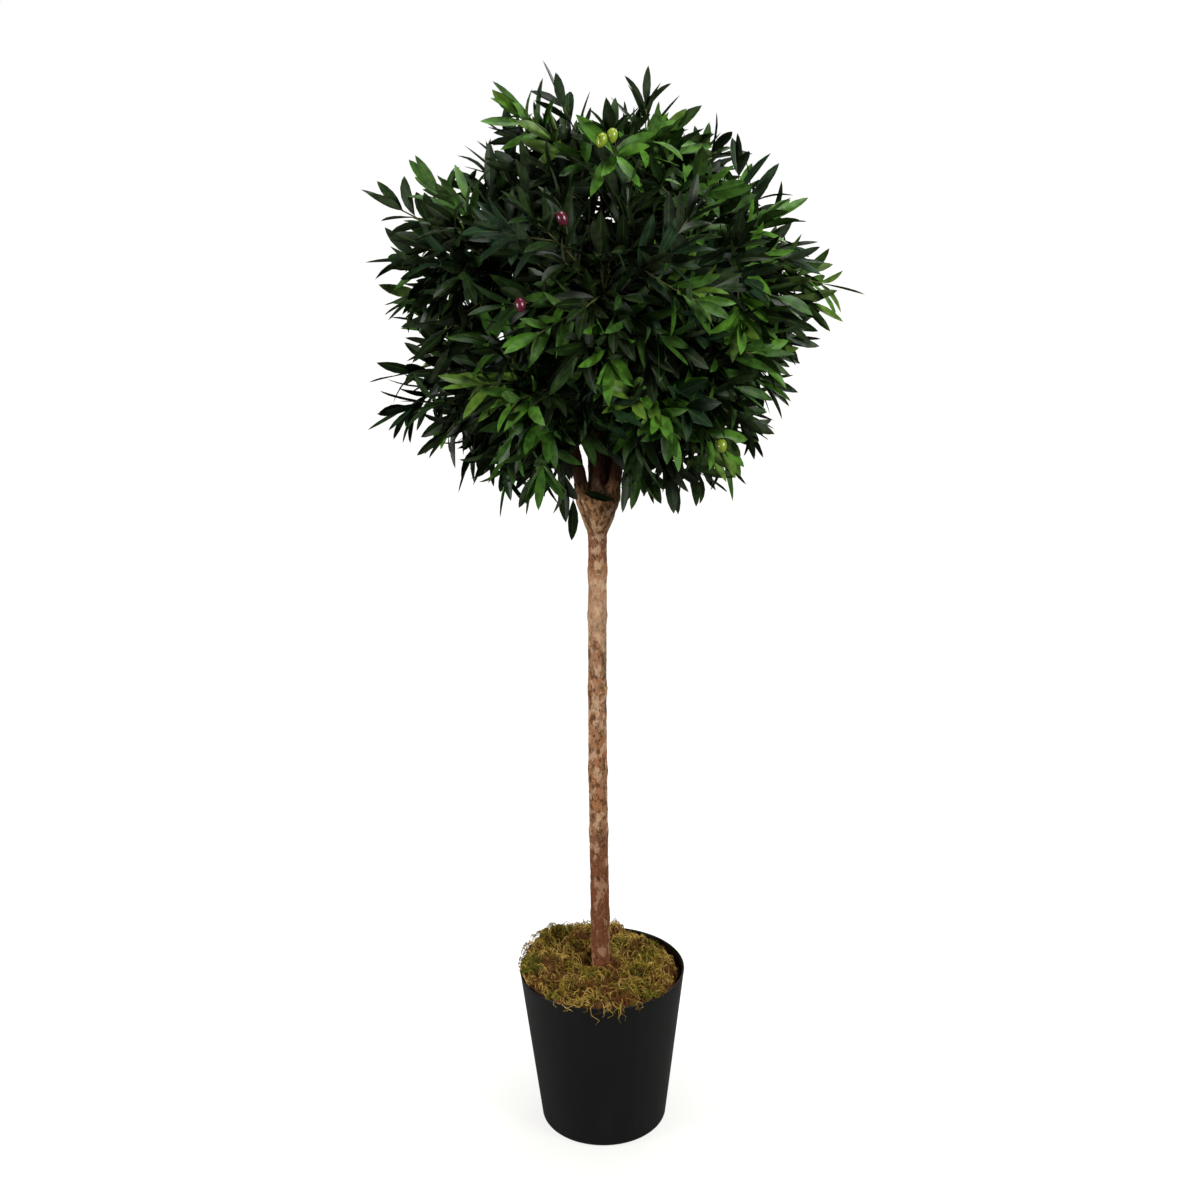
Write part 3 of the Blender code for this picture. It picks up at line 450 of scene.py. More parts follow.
class BarkSettings(bpy.types.PropertyGroup):
    """Relief and colours of the bark."""

    cell: length("Cell", "Size of the bark's mesh", 0.0015)
    swell: length("Swell", "How much thicker the bark makes the wood", 0.0009)
    relief: length("Relief", "Height of the lumps and ridges", 0.0009)
    grain: length("Grain", "Height of the finest ridges", 0.00040)
    tan: colour("Tan", "Main colour of the bark", (0.335, 0.171, 0.087))
    dark: colour("Dark", "Dark brown mottling", (0.095, 0.038, 0.015))
    olive: colour("Olive", "Olive-brown patches", (0.180, 0.120, 0.045))
    pale: colour("Pale", "Worn, pinkish patches", (0.650, 0.420, 0.255))
    rust: colour("Rust", "Orange-brown streaks", (0.370, 0.140, 0.048))
    pit: colour("Pit", "Knots and pits", (0.040, 0.016, 0.009))
    ruddy: colour("Ruddy", "Reddish bark under the head", (0.190, 0.066, 0.029))
    foot: colour("Foot", "Red-brown bark towards the moss", (0.170, 0.048, 0.017))
    head: colour("Head", "Olive-brown head under the boughs", (0.390, 0.205, 0.085))
    # Painted shade: the dark brown laid over the boughs inside the crown.
    wood: colour("Boughs", "Bark of the boughs inside the crown", (0.085, 0.030, 0.016))


class LeafSettings(bpy.types.PropertyGroup):
    """Sizes and colours of the leaves and twigs."""

    leaf_length: length("Length", "Mean length of a leaf with its stalk", 0.066)
    leaf_width: length("Width", "Mean width of a leaf", 0.0166)
    thickness: length("Thickness", "Thickness of a leaf at its midrib", 0.0006)
    rib: share("Midrib", "Width of the midrib as a share of the leaf", 0.075)
    fold: degrees("Fold", "How far each half is folded up from flat", 17)
    arch: degrees("Arch", "How far a leaf bends over its length", 34)
    pair_step: length("Pair step", "Distance between pairs of leaves on a twig", 0.0178)
    side_step: length("Side step", "Distance between side twigs", 0.026)
    apart: length("Spray spacing", "Least distance between the ends of sprays at the surface", 0.051)
    side_twig: length("Side twig", "Mean length of a side twig", 0.078)
    twig_radius: length("Twig radius", "Radius of a main twig at its root", 0.0021)
    # Painted light and shade: the dark and deep tones go to sprays inside the crown as painted shade, and the mid and
    # fresh ones mostly to sprays outside as painted light.
    dark: colour("Dark", "Nearly black leaves inside the crown", (0.0032, 0.0085, 0.0022))
    deep: colour("Deep", "Dark green leaves", (0.0090, 0.0260, 0.0055))
    teal: colour("Teal", "Dull blue-green leaves", (0.0090, 0.0270, 0.0130))
    mid: colour("Mid", "Middle green leaves", (0.0280, 0.0840, 0.0090))
    fresh: colour("Fresh", "Bright green leaves", (0.0660, 0.1800, 0.0170))
    young: colour("Young", "Yellow-green leaves at the ends of sprigs", (0.095, 0.180, 0.022))
    under: colour("Under", "Grey-green lower side", (0.044, 0.062, 0.027))
    twig: colour("Twig", "Green twigs", (0.080, 0.085, 0.026))
    wood: colour("Wood", "Brown stems inside the masses", (0.075, 0.036, 0.016))


class OliveSettings(bpy.types.PropertyGroup):
    """Sizes and colours of the olives."""

    olive_length: length("Length", "Length of an olive", 0.0185)
    olive_width: length("Width", "Width of an olive", 0.0130)
    green: colour("Green", "Unripe olives", (0.200, 0.270, 0.018))
    green_blush: colour("Green blush", "Blotches on the unripe olives", (0.14, 0.28, 0.02))
    ripe: colour("Ripe", "Ripe olives", (0.085, 0.006, 0.018))
    ripe_blush: colour("Ripe blush", "Blotches on the ripe olives", (0.02, 0.004, 0.012))


class StageSettings(bpy.types.PropertyGroup):
    """Floor, light and camera."""

    floor: colour("Floor", "Colour of the floor", (0.12, 0.12, 0.115))
    # Painted shadow: the floor's glow round the pot is lowered to this, a painted soft shadow at the pot's foot.
    painted_shadow_glow: number("Glow near the pot", "White of the evenly lit floor round the pot", 0.84)
    glow_far: number("Glow far off", "White of the floor farther away", 1.04)
    floor_bounce: number("Floor bounce", "Light that the floor gives the object", 0.05)
    sky: number("Surround", "Strength of the white surround as light", 0.06)
    key: number("Key lamp", "Power of the lamp at the upper right, in watts", 92.0)
    fill: number("Fill lamp", "Power of the lamp at the left, in watts", 66.0)
    top: number("Top lamp", "Power of the lamp overhead, in watts", 36.0)
    back: number("Back lamp", "Power of the lamp behind, in watts", 26.0)
    lamp_size: length("Lamp size", "Side of each soft lamp", 1.0)
    distance: length("Camera distance", "How far in front of the pot's axis the camera stands", 2.22)
    height: length("Camera height", "Height of the camera", 1.50)
    aside: length("Camera aside", "How far right of the pot's axis the camera stands", 0.0045)
    pitch: degrees("Pitch", "How far the camera looks down", 17.0)
    roll: degrees("Roll", "How far the camera is turned about its own axis", -0.8)
    lens: number("Lens", "Focal length in millimetres on a 36 mm sensor", 50.0)


class TreeSettings(bpy.types.PropertyGroup):
    """All settings of the tree."""

    pot: PointerProperty(type=PotSettings)
    moss: PointerProperty(type=MossSettings)
    bark: PointerProperty(type=BarkSettings)
    leaves: PointerProperty(type=LeafSettings)
    olives: PointerProperty(type=OliveSettings)
    stage: PointerProperty(type=StageSettings)


def settings():
    return bpy.context.scene.olive_tree


# ---------------------------------------------------------------- shader groups and materials


def add_node(tree, kind, inputs, **looks):
    """The outputs of a new shader node. Each input is a plain value or the socket that feeds it."""
    node = tree.nodes.new("ShaderNode" + kind)
    for name, value in looks.items():
        setattr(node, name, value)
    for name, value in inputs.items():
        if isinstance(value, bpy.types.NodeSocket):
            tree.links.new(value, node.inputs[name])
        else:
            node.inputs[name].default_value = value
    return node.outputs


def soft_edge(tree, value, low, high):
    """0 up to low and 1 from high, with a smooth rise between."""
    spread = {"Value": value, "From Min": low, "From Max": high}
    return add_node(tree, "MapRange", spread, interpolation_type="SMOOTHSTEP")["Result"]


def new_group(name, inputs):
    """A shader node group that gives a mask, what its inputs give, and the socket for the mask."""
    group = bpy.data.node_groups.new(name, "ShaderNodeTree")
    for label, default in inputs.items():
        socket = group.interface.new_socket(label, in_out="INPUT", socket_type="NodeSocketFloat")
        socket.default_value = default
    group.interface.new_socket("Mask", in_out="OUTPUT", socket_type="NodeSocketFloat")
    given = group.nodes.new("NodeGroupInput").outputs
    return group, given, group.nodes.new("NodeGroupOutput").inputs["Mask"]


@functools.cache
def patches_group():
    """Soft-edged patches of noise, which can be drawn out up the object."""
    inputs = {"Scale": 50.0, "Upright": 1.0, "Detail": 3.0, "Low": 0.4, "High": 0.6, "Shift": 0.0}
    group, given, mask = new_group("Patches", inputs)
    place = add_node(group, "TexCoord", {})["Object"]
    shape = add_node(group, "CombineXYZ", {"X": 1.0, "Y": 1.0, "Z": given["Upright"]})["Vector"]
    drawn = add_node(group, "VectorMath", {0: place, 1: shape}, operation="MULTIPLY")["Vector"]
    moved = add_node(group, "VectorMath", {0: drawn, 1: given["Shift"]}, operation="ADD")["Vector"]
    sizes = {"Vector": moved, "Scale": given["Scale"], "Detail": given["Detail"]}
    grain = add_node(group, "TexNoise", sizes)["Fac"]
    group.links.new(soft_edge(group, grain, given["Low"], given["High"]), mask)
    return group


@functools.cache
def band_group():
    """1 above the top height and 0 below the bottom one, with a ragged edge."""
    group, given, mask = new_group("Band", {"Bottom": 0.0, "Top": 1.0, "Ragged": 0.02})
    place = add_node(group, "TexCoord", {})["Object"]
    height = add_node(group, "SeparateXYZ", {"Vector": place})["Z"]
    grain = add_node(group, "TexNoise", {"Vector": place, "Scale": 60.0})["Fac"]
    centred = add_node(group, "Math", {0: grain, 1: 0.5}, operation="SUBTRACT")["Value"]
    torn = {0: centred, 1: given["Ragged"], 2: height}
    ragged = add_node(group, "Math", torn, operation="MULTIPLY_ADD")["Value"]
    group.links.new(soft_edge(group, ragged, given["Bottom"], given["Top"]), mask)
    return group


class Finish:
    """A material on one Principled shader, put together a layer at a time."""

    def __init__(self, name, base, **sockets):
        self.material = bpy.data.materials.new(name)
        self.material.use_nodes = True
        self.tree = self.material.node_tree
        self.shader = self.tree.nodes["Principled BSDF"]
        self.colour = (*base, 1.0)
        self.shader.inputs["Base Color"].default_value = self.colour
        for label, value in sockets.items():
            self.shader.inputs[label.replace("_", " ")].default_value = value

    def feed(self, label, socket):
        self.tree.links.new(socket, self.shader.inputs[label])
        return self

    def patches(self, **values):
        return add_node(self.tree, "Group", values, node_tree=patches_group())["Mask"]

    def above(self, **values):
        return add_node(self.tree, "Group", values, node_tree=band_group())["Mask"]

    def reckon(self, operation, one, other):
        """A mask worked out from two others; either may be a plain number."""
        return add_node(self.tree, "Math", {0: one, 1: other}, operation=operation)["Value"]

    def overlap(self, one, other):
        return self.reckon("MULTIPLY", one, other)

    def layer(self, mask, tint, strength=1.0):
        """Lays a colour over what is there, where the mask is 1."""
        if strength < 1.0:
            mask = self.overlap(mask, strength)
        laid = {"Factor": mask, "A": self.colour, "B": (*tint, 1.0)}
        self.colour = add_node(self.tree, "Mix", laid, data_type="RGBA")["Result"]
        return self.feed("Base Color", self.colour)

    def roughness(self, mask, low, high):
        spread = {"Value": mask, "To Min": low, "To Max": high}
        return self.feed("Roughness", add_node(self.tree, "MapRange", spread)["Result"])

    def bump(self, mask, depth, strength=1.0):
        raised = {"Height": mask, "Distance": depth, "Strength": strength}
        return self.feed("Normal", add_node(self.tree, "Bump", raised)["Normal"])


def plastic_finish(own):
    finish = Finish("satin_black_plastic", own.black, Roughness=0.40, Specular_IOR_Level=0.42)
    scuffs = finish.patches(Scale=34.0, Upright=0.35, Detail=6.0, Low=0.50, High=0.78)
    cloud = finish.patches(Scale=11.0, Upright=0.6, Detail=4.0, Low=0.30, High=0.75, Shift=3.0)
    grain = finish.patches(Scale=900.0, Detail=2.0, Low=0.2, High=0.8)
    finish.layer(scuffs, own.dust, 0.35)
    return finish.roughness(cloud, 0.36, 0.50).bump(grain, 0.00012, 0.35).material


def cement_finish(own):
    finish = Finish("cement", own.cement, Roughness=0.92)
    blots = finish.patches(Scale=60.0, Detail=8.0, Low=0.40, High=0.65)
    return finish.layer(blots, darker(own.cement, 0.6)).bump(blots, 0.0006).material


def bark_finish(own):
    """Patches of several browns, in bands from the red foot up to the boughs, which are painted dark brown as painted
    shade inside the crown.
    """
    finish = Finish("bark", own.tan, Roughness=0.8, Specular_IOR_Level=0.25)
    rust = finish.patches(Scale=55.0, Upright=0.30, Detail=5.0, Low=0.50, High=0.60, Shift=7.0)
    olive = finish.patches(Scale=75.0, Upright=0.55, Detail=4.0, Low=0.52, High=0.62, Shift=11.0)
    dark = finish.patches(Scale=160.0, Upright=0.60, Detail=6.0, Low=0.51, High=0.58)
    worn = finish.patches(Scale=100.0, Upright=0.55, Detail=6.0, Low=0.52, High=0.60, Shift=5.0)
    specks = finish.patches(Scale=380.0, Upright=0.70, Detail=3.0, Low=0.62, High=0.69, Shift=3.0)
    flecks = finish.patches(Scale=300.0, Upright=0.60, Detail=3.0, Low=0.58, High=0.66, Shift=9.0)
    pits = finish.patches(Scale=120.0, Upright=0.70, Detail=2.0, Low=0.69, High=0.74, Shift=2.0)
    grain = finish.patches(Scale=420.0, Upright=0.35, Detail=6.0, Low=0.25, High=0.75)
    foot = finish.reckon("SUBTRACT", 1.0, finish.above(Bottom=0.385, Top=0.510, Ragged=0.10))
    from_ruddy = finish.above(Bottom=0.850, Top=0.880, Ragged=0.06)
    under_ruddy = finish.reckon("SUBTRACT", 1.0, from_ruddy)
    under_head = finish.reckon("SUBTRACT", 1.0, finish.above(Bottom=0.905, Top=0.925, Ragged=0.03))
    ruddy = finish.overlap(from_ruddy, under_head)
    light = finish.overlap(finish.above(Bottom=0.745, Top=0.785, Ragged=0.08), under_ruddy)
    head = finish.above(Bottom=0.912, Top=0.930, Ragged=0.03)
    # Painted shade: the boughs above the head, inside the crown, take the dark wood colour.
    boughs = finish.above(Bottom=0.972, Top=1.005, Ragged=0.02)
    finish.layer(rust, own.rust, 0.7).layer(olive, own.olive, 0.7).layer(ruddy, own.ruddy, 0.7)
    finish.layer(foot, own.foot, 0.85).layer(head, own.head, 0.6)
    finish.layer(dark, own.dark, 0.80).layer(worn, own.pale, 0.60)
    finish.layer(flecks, own.dark, 0.6).layer(specks, own.pale, 0.6)
    finish.layer(light, own.pale, 0.28).layer(foot, own.foot, 0.40)
    finish.layer(boughs, own.wood, 0.90).layer(pits, own.pit, 0.9)
    return finish.roughness(worn, 0.86, 0.66).bump(grain, 0.0006, 0.9).material


def moss_finish(name, tint, shade):
    finish = Finish(name, tint, Roughness=0.95, Specular_IOR_Level=0.15)
    tufts = finish.patches(Scale=120.0, Detail=4.0, Low=0.42, High=0.62)
    return finish.layer(tufts, shade, 0.6).bump(tufts, 0.0006, 0.6).material


def leaf_finish(name, tint, roughness):
    """A plain colour, a little darker in soft patches, under a faint cloth-like grain."""
    finish = Finish(name, tint, Roughness=roughness, Specular_IOR_Level=0.18)
    shaded = finish.patches(Scale=85.0, Detail=1.0, Low=0.38, High=0.66)
    weave = finish.patches(Scale=700.0, Detail=1.0, Low=0.3, High=0.7)
    return finish.layer(shaded, darker(tint, 0.45), 0.8).bump(weave, 0.00010, 0.30).material


def olive_finish(name, tint, blush):
    finish = Finish(name, tint, Roughness=0.28, Specular_IOR_Level=0.5)
    blotch = finish.patches(Scale=110.0, Detail=2.0, Low=0.48, High=0.70)
    return finish.layer(blotch, blush, 0.6).material


def darker(tint, part):
    return tuple(shade * part for shade in tint)


def lighter(tint, target, amount):
    """The colour moved that share of the way to the target colour."""
    return tuple(a + (b - a) * amount for a, b in zip(tint, target))


# ---------------------------------------------------------------- meshes


def show(obj, slot, *nodes):
    """Hands the piece to the frame: it rides on the one body and stands for the nodes."""
    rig.ride(obj, "root")
    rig.slot(obj, slot)
    if nodes:
        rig.replaces(obj, *nodes)
    return obj


def mesh_from(obj):
    """A plain mesh of what the object evaluates to."""
    bpy.context.view_layer.update()
    evaluated = obj.evaluated_get(bpy.context.evaluated_depsgraph_get())
    return bpy.data.meshes.new_from_object(evaluated)


def apply_modifiers(obj):
    """Replaces the object's mesh by what its modifiers make of it."""
    made = mesh_from(obj)
    old = obj.data
    obj.modifiers.clear()
    obj.data = made
    made.name = old.name + "_shape"
    bpy.data.meshes.remove(old)


def new_object(name, data, *materials):
    """An object in the scene that shows a mesh, a lamp or a camera."""
    obj = bpy.data.objects.new(name, data)
    bpy.context.scene.collection.objects.link(obj)
    for material in materials:
        data.materials.append(material)
    return obj


class Heap:
    """Many small shapes gathered into one mesh."""

    def __init__(self):
        self.points, self.faces, self.tints = [], [], []
        self.total = 0

    def add(self, points, faces, tints):
        """points is an array of rows, faces a list of index tuples, tints one index or one a face."""
        self.points.append(np.asarray(points, float))
        self.faces += [tuple(i + self.total for i in face) for face in faces]
        self.tints += [tints] * len(faces) if isinstance(tints, int) else list(tints)
        self.total += len(points)

    def build(self, name, *materials):
        mesh = bpy.data.meshes.new(name)
        mesh.from_pydata(np.concatenate(self.points).tolist(), [], self.faces)
        obj = new_object(name, mesh, *materials)
        mesh.polygons.foreach_set("material_index", self.tints)
        mesh.shade_smooth()
        mesh.update()
        return obj


def ring_faces(rings, sides):
    """Quads between rings of points, and a cap on each end."""
    around = [(i, (i + 1) % sides) for i in range(sides)]
    quads = [
        (r * sides + a, r * sides + b, (r + 1) * sides + b, (r + 1) * sides + a)
        for r in range(rings - 1)
        for a, b in around
    ]
    last = (rings - 1) * sides
    return quads + [tuple(range(sides))[::-1], tuple(range(last, last + sides))]


def tube(points, radii, sides, turn=0.0):
    """Points and faces of a closed tapering tube."""
    rows = []
    side = None
    for index, (point, radius) in enumerate(zip(points, radii)):
        ahead = points[min(index + 1, len(points) - 1)] - points[max(index - 1, 0)]
        ahead = ahead.normalized()
        side = ahead.orthogonal() if side is None else side - ahead * side.dot(ahead)
        side = side.normalized()
        across = ahead.cross(side)
        for corner in range(sides):
            angle = turn + 2 * math.pi * corner / sides
            rows.append(point + (side * math.cos(angle) + across * math.sin(angle)) * radius)
    return rows, ring_faces(len(points), sides)


# ---------------------------------------------------------------- the rule of the solids


def toward(compass, height):
    """Unit vector at a compass angle from +X and a height angle, both in degrees."""
    a, h = math.radians(compass), math.radians(height)
    return Vector((math.cos(a) * math.cos(h), math.sin(a) * math.cos(h), math.sin(h)))


def front(angle):
    """Unit vector that points that many degrees anticlockwise from +X, seen from the front."""
    return toward(0, angle)


def ease_between(value, begin, whole):
    """0 up to where it begins and 1 from where it is whole, with a smooth rise between."""
    part = max(0.0, min(1.0, (value - begin) / (whole - begin)))
    return part * part * (3.0 - 2.0 * part)


def bend(start, middle, end, part):
    """Point on the quadratic curve through start and end that leans towards middle."""
    rest = 1.0 - part
    return start * rest * rest + middle * 2.0 * part * rest + end * part * part


def taper(thick, thin, steps):
    return [thick + (thin - thick) * i / (steps - 1) for i in range(steps)]


def pot_radius(height):
    return POT_BASE_RADIUS + (POT_TOP_RADIUS - POT_BASE_RADIUS) * height / POT_HEIGHT


def stem_centre(height):
    foot = FILL_TOP + GAP
    part = (height - foot) / (HEAD_HEIGHT - foot)
    return Vector((STEM_FOOT_X + STEM_LEAN * part + STEM_BOW * math.sin(math.pi * part), 0.0, height))


def stem_radius(height):
    foot = FILL_TOP + GAP
    if height > NECK_HEIGHT:
        part = (height - NECK_HEIGHT) / (HEAD_HEIGHT - NECK_HEIGHT)
        return STEM_NECK_RADIUS + (HEAD_RADIUS - STEM_NECK_RADIUS) * part**HEAD_FLARE
    part = (height - foot) / (NECK_HEIGHT - foot)
    plain = STEM_BASE_RADIUS + (STEM_NECK_RADIUS - STEM_BASE_RADIUS) * part
    knots = sum(math.exp(-(((height - z) / KNOT_LENGTH) ** 2)) for z in KNOT_HEIGHTS)
    return plain + KNOT_SWELL * knots


def moss_top(x, y):
    """Height of the moss: a lumpy bed, heaped at the back left and sunk along the right rim."""
    spot = Vector((x, y, 0.0))
    rise = MOSS_LEVEL + sum(noise.noise(spot * fine) * high for fine, high in MOSS_LUMPS)
    side, more = MOSS_HEAPED
    rise += more * spot.dot(toward(side, 0)) / POT_TOP_RADIUS
    side, fall = MOSS_SUNK
    off = math.degrees(spot.angle(toward(side, 0), 0.0))
    rise -= fall * ease_between(off, *MOSS_SUNK_ARC) * ease_between(
        spot.length / POT_TOP_RADIUS, *MOSS_SUNK_RING
    )
    side, out, tall, wide = MOSS_TUFT
    rise += tall * math.exp(-(((spot - toward(side, 0) * out).length / wide) ** 2))
    return POT_HEIGHT + min(MOSS_SWELL, rise)


def bough_line(name):
    """Three points that a bough from the head bends along: steep at its foot, then outward."""
    mass, _, side = BOUGHS[name]
    tip = CROWN_CENTRE + toward(*MASSES[mass]) * CROWN_RADIUS * BOUGH_SHARE
    foot = stem_centre(HEAD_HEIGHT) + Vector((0.0, 0.0, GAP))
    knee = foot + Vector((0.0, 0.0, 0.55 * (tip.z - foot.z)))
    if side is not None:
        foot += toward(side, 0) * BOUGH_RING
        knee += toward(side, 0) * (BOUGH_RING + BOUGH_SPLAY)
    return foot, knee, tip


def limb_curves():
    """Name to (start, middle, end, thick, thin) of every bough and side limb."""
    curves = {name: (*bough_line(name), BOUGHS[name][1], TIP_RADIUS) for name in BOUGHS}
    for name, (mass, parent, where) in LIMBS.items():
        foot = bend(*curves[parent][:3], where)
        tip = CROWN_CENTRE + toward(*MASSES[mass]) * CROWN_RADIUS * BOUGH_SHARE
        knee = foot.lerp(tip, 0.45) + Vector((0.0, 0.0, -0.012))
        curves[name] = (foot, knee, tip, LIMB_RADIUS, TIP_RADIUS)
    return curves


def all_sprigs():
    """(direction, reach) of every sprig: those of the outline, and others spread round the ball."""
    tips = [front(angle) * far - Vector((0.0, ahead, 0.0)) for angle, far, ahead in SPRIGS]
    sprigs = [(tip.normalized(), tip.length) for tip in tips]
    rng = random.Random(SEED)
    for index in range(SIDE_SPRIGS):
        rise = 1.0 - 2.0 * (index + 0.5) / SIDE_SPRIGS
        turn = index * GOLDEN_TURN
        direction = toward(math.degrees(turn), math.degrees(math.asin(rise)))
        if abs(direction.y) > 0.42 and direction.z > -0.85:
            sprigs.append((direction, rng.uniform(*SIDE_SPRIG_REACH)))
    return sprigs


ALL_SPRIGS = all_sprigs()
SPRIG_WAYS = np.array([way for way, _ in ALL_SPRIGS])
SPRIG_REACHES = np.array([far for _, far in ALL_SPRIGS])
SWELL_WAYS = np.array([front(angle) for angle, _, _ in SWELLS])
SWELL_SIZES = np.array([(change, width) for _, change, width in SWELLS])


def reach(direction, more=0.0):
    """How far the crown goes from its centre this way, and that much more where no sprig stands."""
    way = np.array(direction)
    off = np.degrees(np.arccos(np.clip(SWELL_WAYS @ way, -1.0, 1.0)))
    ball = CROWN_RADIUS + (SWELL_SIZES[:, 0] * np.exp(-((off / SWELL_SIZES[:, 1]) ** 2))).sum()
    off = np.degrees(np.arccos(np.clip(SPRIG_WAYS @ way, -1.0, 1.0)))
    extra = np.maximum(0.0, SPRIG_REACHES - ball) * np.exp(-((off / SPRIG_WIDTH) ** 2))
    return float(ball + max(more, extra.max() + min(more, 0.0)))


def in_window(point):
    """True in the gap at the front of the fork, where the boughs show, and in the sight past them."""
    if CHINK_LEFT < point.x < CHINK_RIGHT and point.z < CHINK_TOP - CHINK_SLOPE * point.y:
        return True
    if point.z < BARE_TOP and abs(point.x) < BARE_ROOM:
        return True
    top = WINDOW_TOP + WINDOW_SLOPE * abs(point.y)
    return WINDOW_LEFT < point.x < WINDOW_RIGHT and point.y < 0.02 and point.z < top


@functools.cache
def limb_cloud():
    """Points along every limb and the stem's head, and their radii, for keeping clear of them."""
    spots, sizes = [], []
    for start, middle, end, thick, thin in limb_curves().values():
        for i in range(41):
            spots.append(bend(start, middle, end, i / 40))
            sizes.append(thick + (thin - thick) * i / 40)
    for i in range(60):
        height = HEAD_HEIGHT - i * 0.003
        spots.append(stem_centre(height))
        sizes.append(stem_radius(height))
    return np.array(spots), np.array(sizes)


def clears_limbs(spots, margin):
    places, sizes = limb_cloud()
    apart = np.linalg.norm(np.array(spots)[:, None] - places[None], axis=2)
    return bool((apart > sizes + margin).all())


class Space:
    """The room one mass keeps to: nearer to its own heart than to any other, inside the crown."""

    def __init__(self, name):
        hearts = {
            mass: CROWN_CENTRE + toward(*angles) * CROWN_RADIUS * HEART_SHARE
            for mass, angles in MASSES.items()
        }
        self.heart = hearts.pop(name)
        self.walls = [
            ((other - self.heart).normalized(), (other + self.heart) / 2) for other in hearts.values()
        ]

    def holds(self, point, slack=0.0, margin=0.0):
        offset = point - CROWN_CENTRE
        if offset.length > reach(offset.normalized()) + slack or in_window(point):
            return False
        return all((point - middle).dot(way) < -CELL_GAP - margin for way, middle in self.walls)


# ---------------------------------------------------------------- growth of twigs and leaves


# Where one leaf lies: its root, the way it points, its upper side and its shape
Leaf = collections.namedtuple("Leaf", "root along top size tone arch twist fold")


class Mass:
    """One mass of foliage: a stem from its bough's tip, main twigs, side twigs, leaves in pairs."""

    def __init__(self, name, own):
        self.name, self.own = name, own
        self.space = Space(name)
        self.rng = random.Random(f"{SEED} {name}")
        self.out = toward(*MASSES[name])
        carrier = next(limb for limb, sizes in {**BOUGHS, **LIMBS}.items() if sizes[0] == name)
        start, middle, foot, _, _ = limb_curves()[carrier]
        ahead = (foot - bend(start, middle, foot, 0.8)).normalized()
        end = CROWN_CENTRE + self.out * (reach(self.out) - own.leaf_length * STEM_SHORT)
        self.line = (foot, foot + ahead * (end - foot).length * 0.5, end)
        tier = name.split("_")[0]
        self.most_twigs = MAIN_TWIGS[tier]
        self.droop = Vector((0.0, 0.0, DROOP[tier]))
        self.twigs, self.leaves, self.ends = [], [], []
        self.slack = 0.0

    def grow(self):
        targets = self.targets()
        self.rng = random.Random(f"{SEED} {self.out.x:.3f} {self.out.z:.3f} fine")
        stem = [bend(*self.line, i / 8) for i in range(9)]
        self.twigs.append((stem, TIP_RADIUS, STEM_TIP_RADIUS, 1))
        self.spray(stem, self.tone_at(stem[-1]), BARE_STEM)
        for target in targets:
            self.main_twig(target)
        self.fill_stem(stem)
        if self.name == STRAYS_ON:
            self.strays()
        return self

    def strays(self):
        """The two leaves that hang beside the stem's head, in the darkest tone as painted shade under the crown."""
        for foot, root, tip in STRAYS:
            foot, root, tip = Vector(foot), Vector(root), Vector(tip)
            self.twigs.append(([foot, foot.lerp(root, 0.5), root], *STRAY_TWIG_RADII, 0))
            along, top = (tip - root).normalized(), Vector((0.25, -1.0, 0.45)).normalized()
            self.leaves.append(Leaf(root, along, top, (tip - root).length, 0, 0.3, 0.1, self.own.fold))

    def targets(self):
        """Where the main twigs' last leaves end: the sprigs' tips, then evenly over the space."""
        tips = [CROWN_CENTRE + way * (far + 0.003) for way, far in ALL_SPRIGS]
        found = [tip for tip in tips if self.space.holds(tip, slack=0.004)]
        while len(found) < self.most_twigs:
            found.append(self.roomiest(80, found))
        return found

    def roomiest(self, tries, found):
        """Of that many seeded spots under the crown's surface, the one farthest from those found."""
        spots = []
        while len(spots) < tries:
            way = Vector([self.rng.gauss(0, 1) for _ in range(3)]).normalized()
            way = (way * 0.9 + self.out * 0.4 + self.droop).normalized()
            spot = CROWN_CENTRE + way * reach(way) * (1.0 - 0.14 * self.rng.random() ** 2)
            if self.space.holds(spot, margin=0.003):
                spots.append(spot)
        others = found + [self.line[0]]
        return max(spots, key=lambda spot: min((spot - other).length for other in others))

    def tone_at(self, point):
        """A tone for a spray by its depth: dark ones for the inside and the shaded front as painted shade, bright ones
        for the outside as painted light.
        """
        offset = point - CROWN_CENTRE
        way = offset.normalized()
        outer = offset.length / reach(way)
        if way.dot(PAINTED_SHADE_WAY) > PAINTED_SHADE_SPREAD:
            outer -= PAINTED_SHADE_DEPTH
        shares = TONE_SHARES[0 if outer < INSIDE else 1 if outer < OUTSIDE else 2]
        return self.rng.choices(range(len(TONES)), shares)[0]

    def main_twig(self, target):
        """A twig that leaves the stem at an easy angle and ends one leaf short of its target."""
        foot, _, end = self.line
        whole = end - foot
        part = (target - foot).dot(whole) / whole.length_squared
        aside = (target - foot - whole * part).length
        part = max(TWIG_ROOM / whole.length, part - 0.75 * aside / whole.length)
        last = self.own.leaf_length * LAST_LEAF
        for shift in TWIG_SHIFTS:
            root = bend(*self.line, min(0.90, part + shift))
            tip = target - (target - root).normalized() * last
            lift = (self.out * 0.25 + Vector((0, 0, 0.3))) * 0.1 * (tip - root).length
            knee = root.lerp(tip, 0.5) + lift
            steps = max(3, round((tip - root).length / TWIG_STEP))
            points = [bend(root, knee, tip, i / steps) for i in range(steps + 1)]
            if not any(in_window(spot) for spot in points) and clears_limbs(points[1:], TWIG_CLEAR):
                break
        else:
            return
        self.twigs.append((points, self.own.twig_radius, TWIG_TIP_RADIUS, 0))
        self.ends.append(target)
        self.slack = self.rng.uniform(*SPRAY_SLACK)
        self.spray(points, self.tone_at(tip), BARE_TWIG, last)
        self.side_twigs(points)

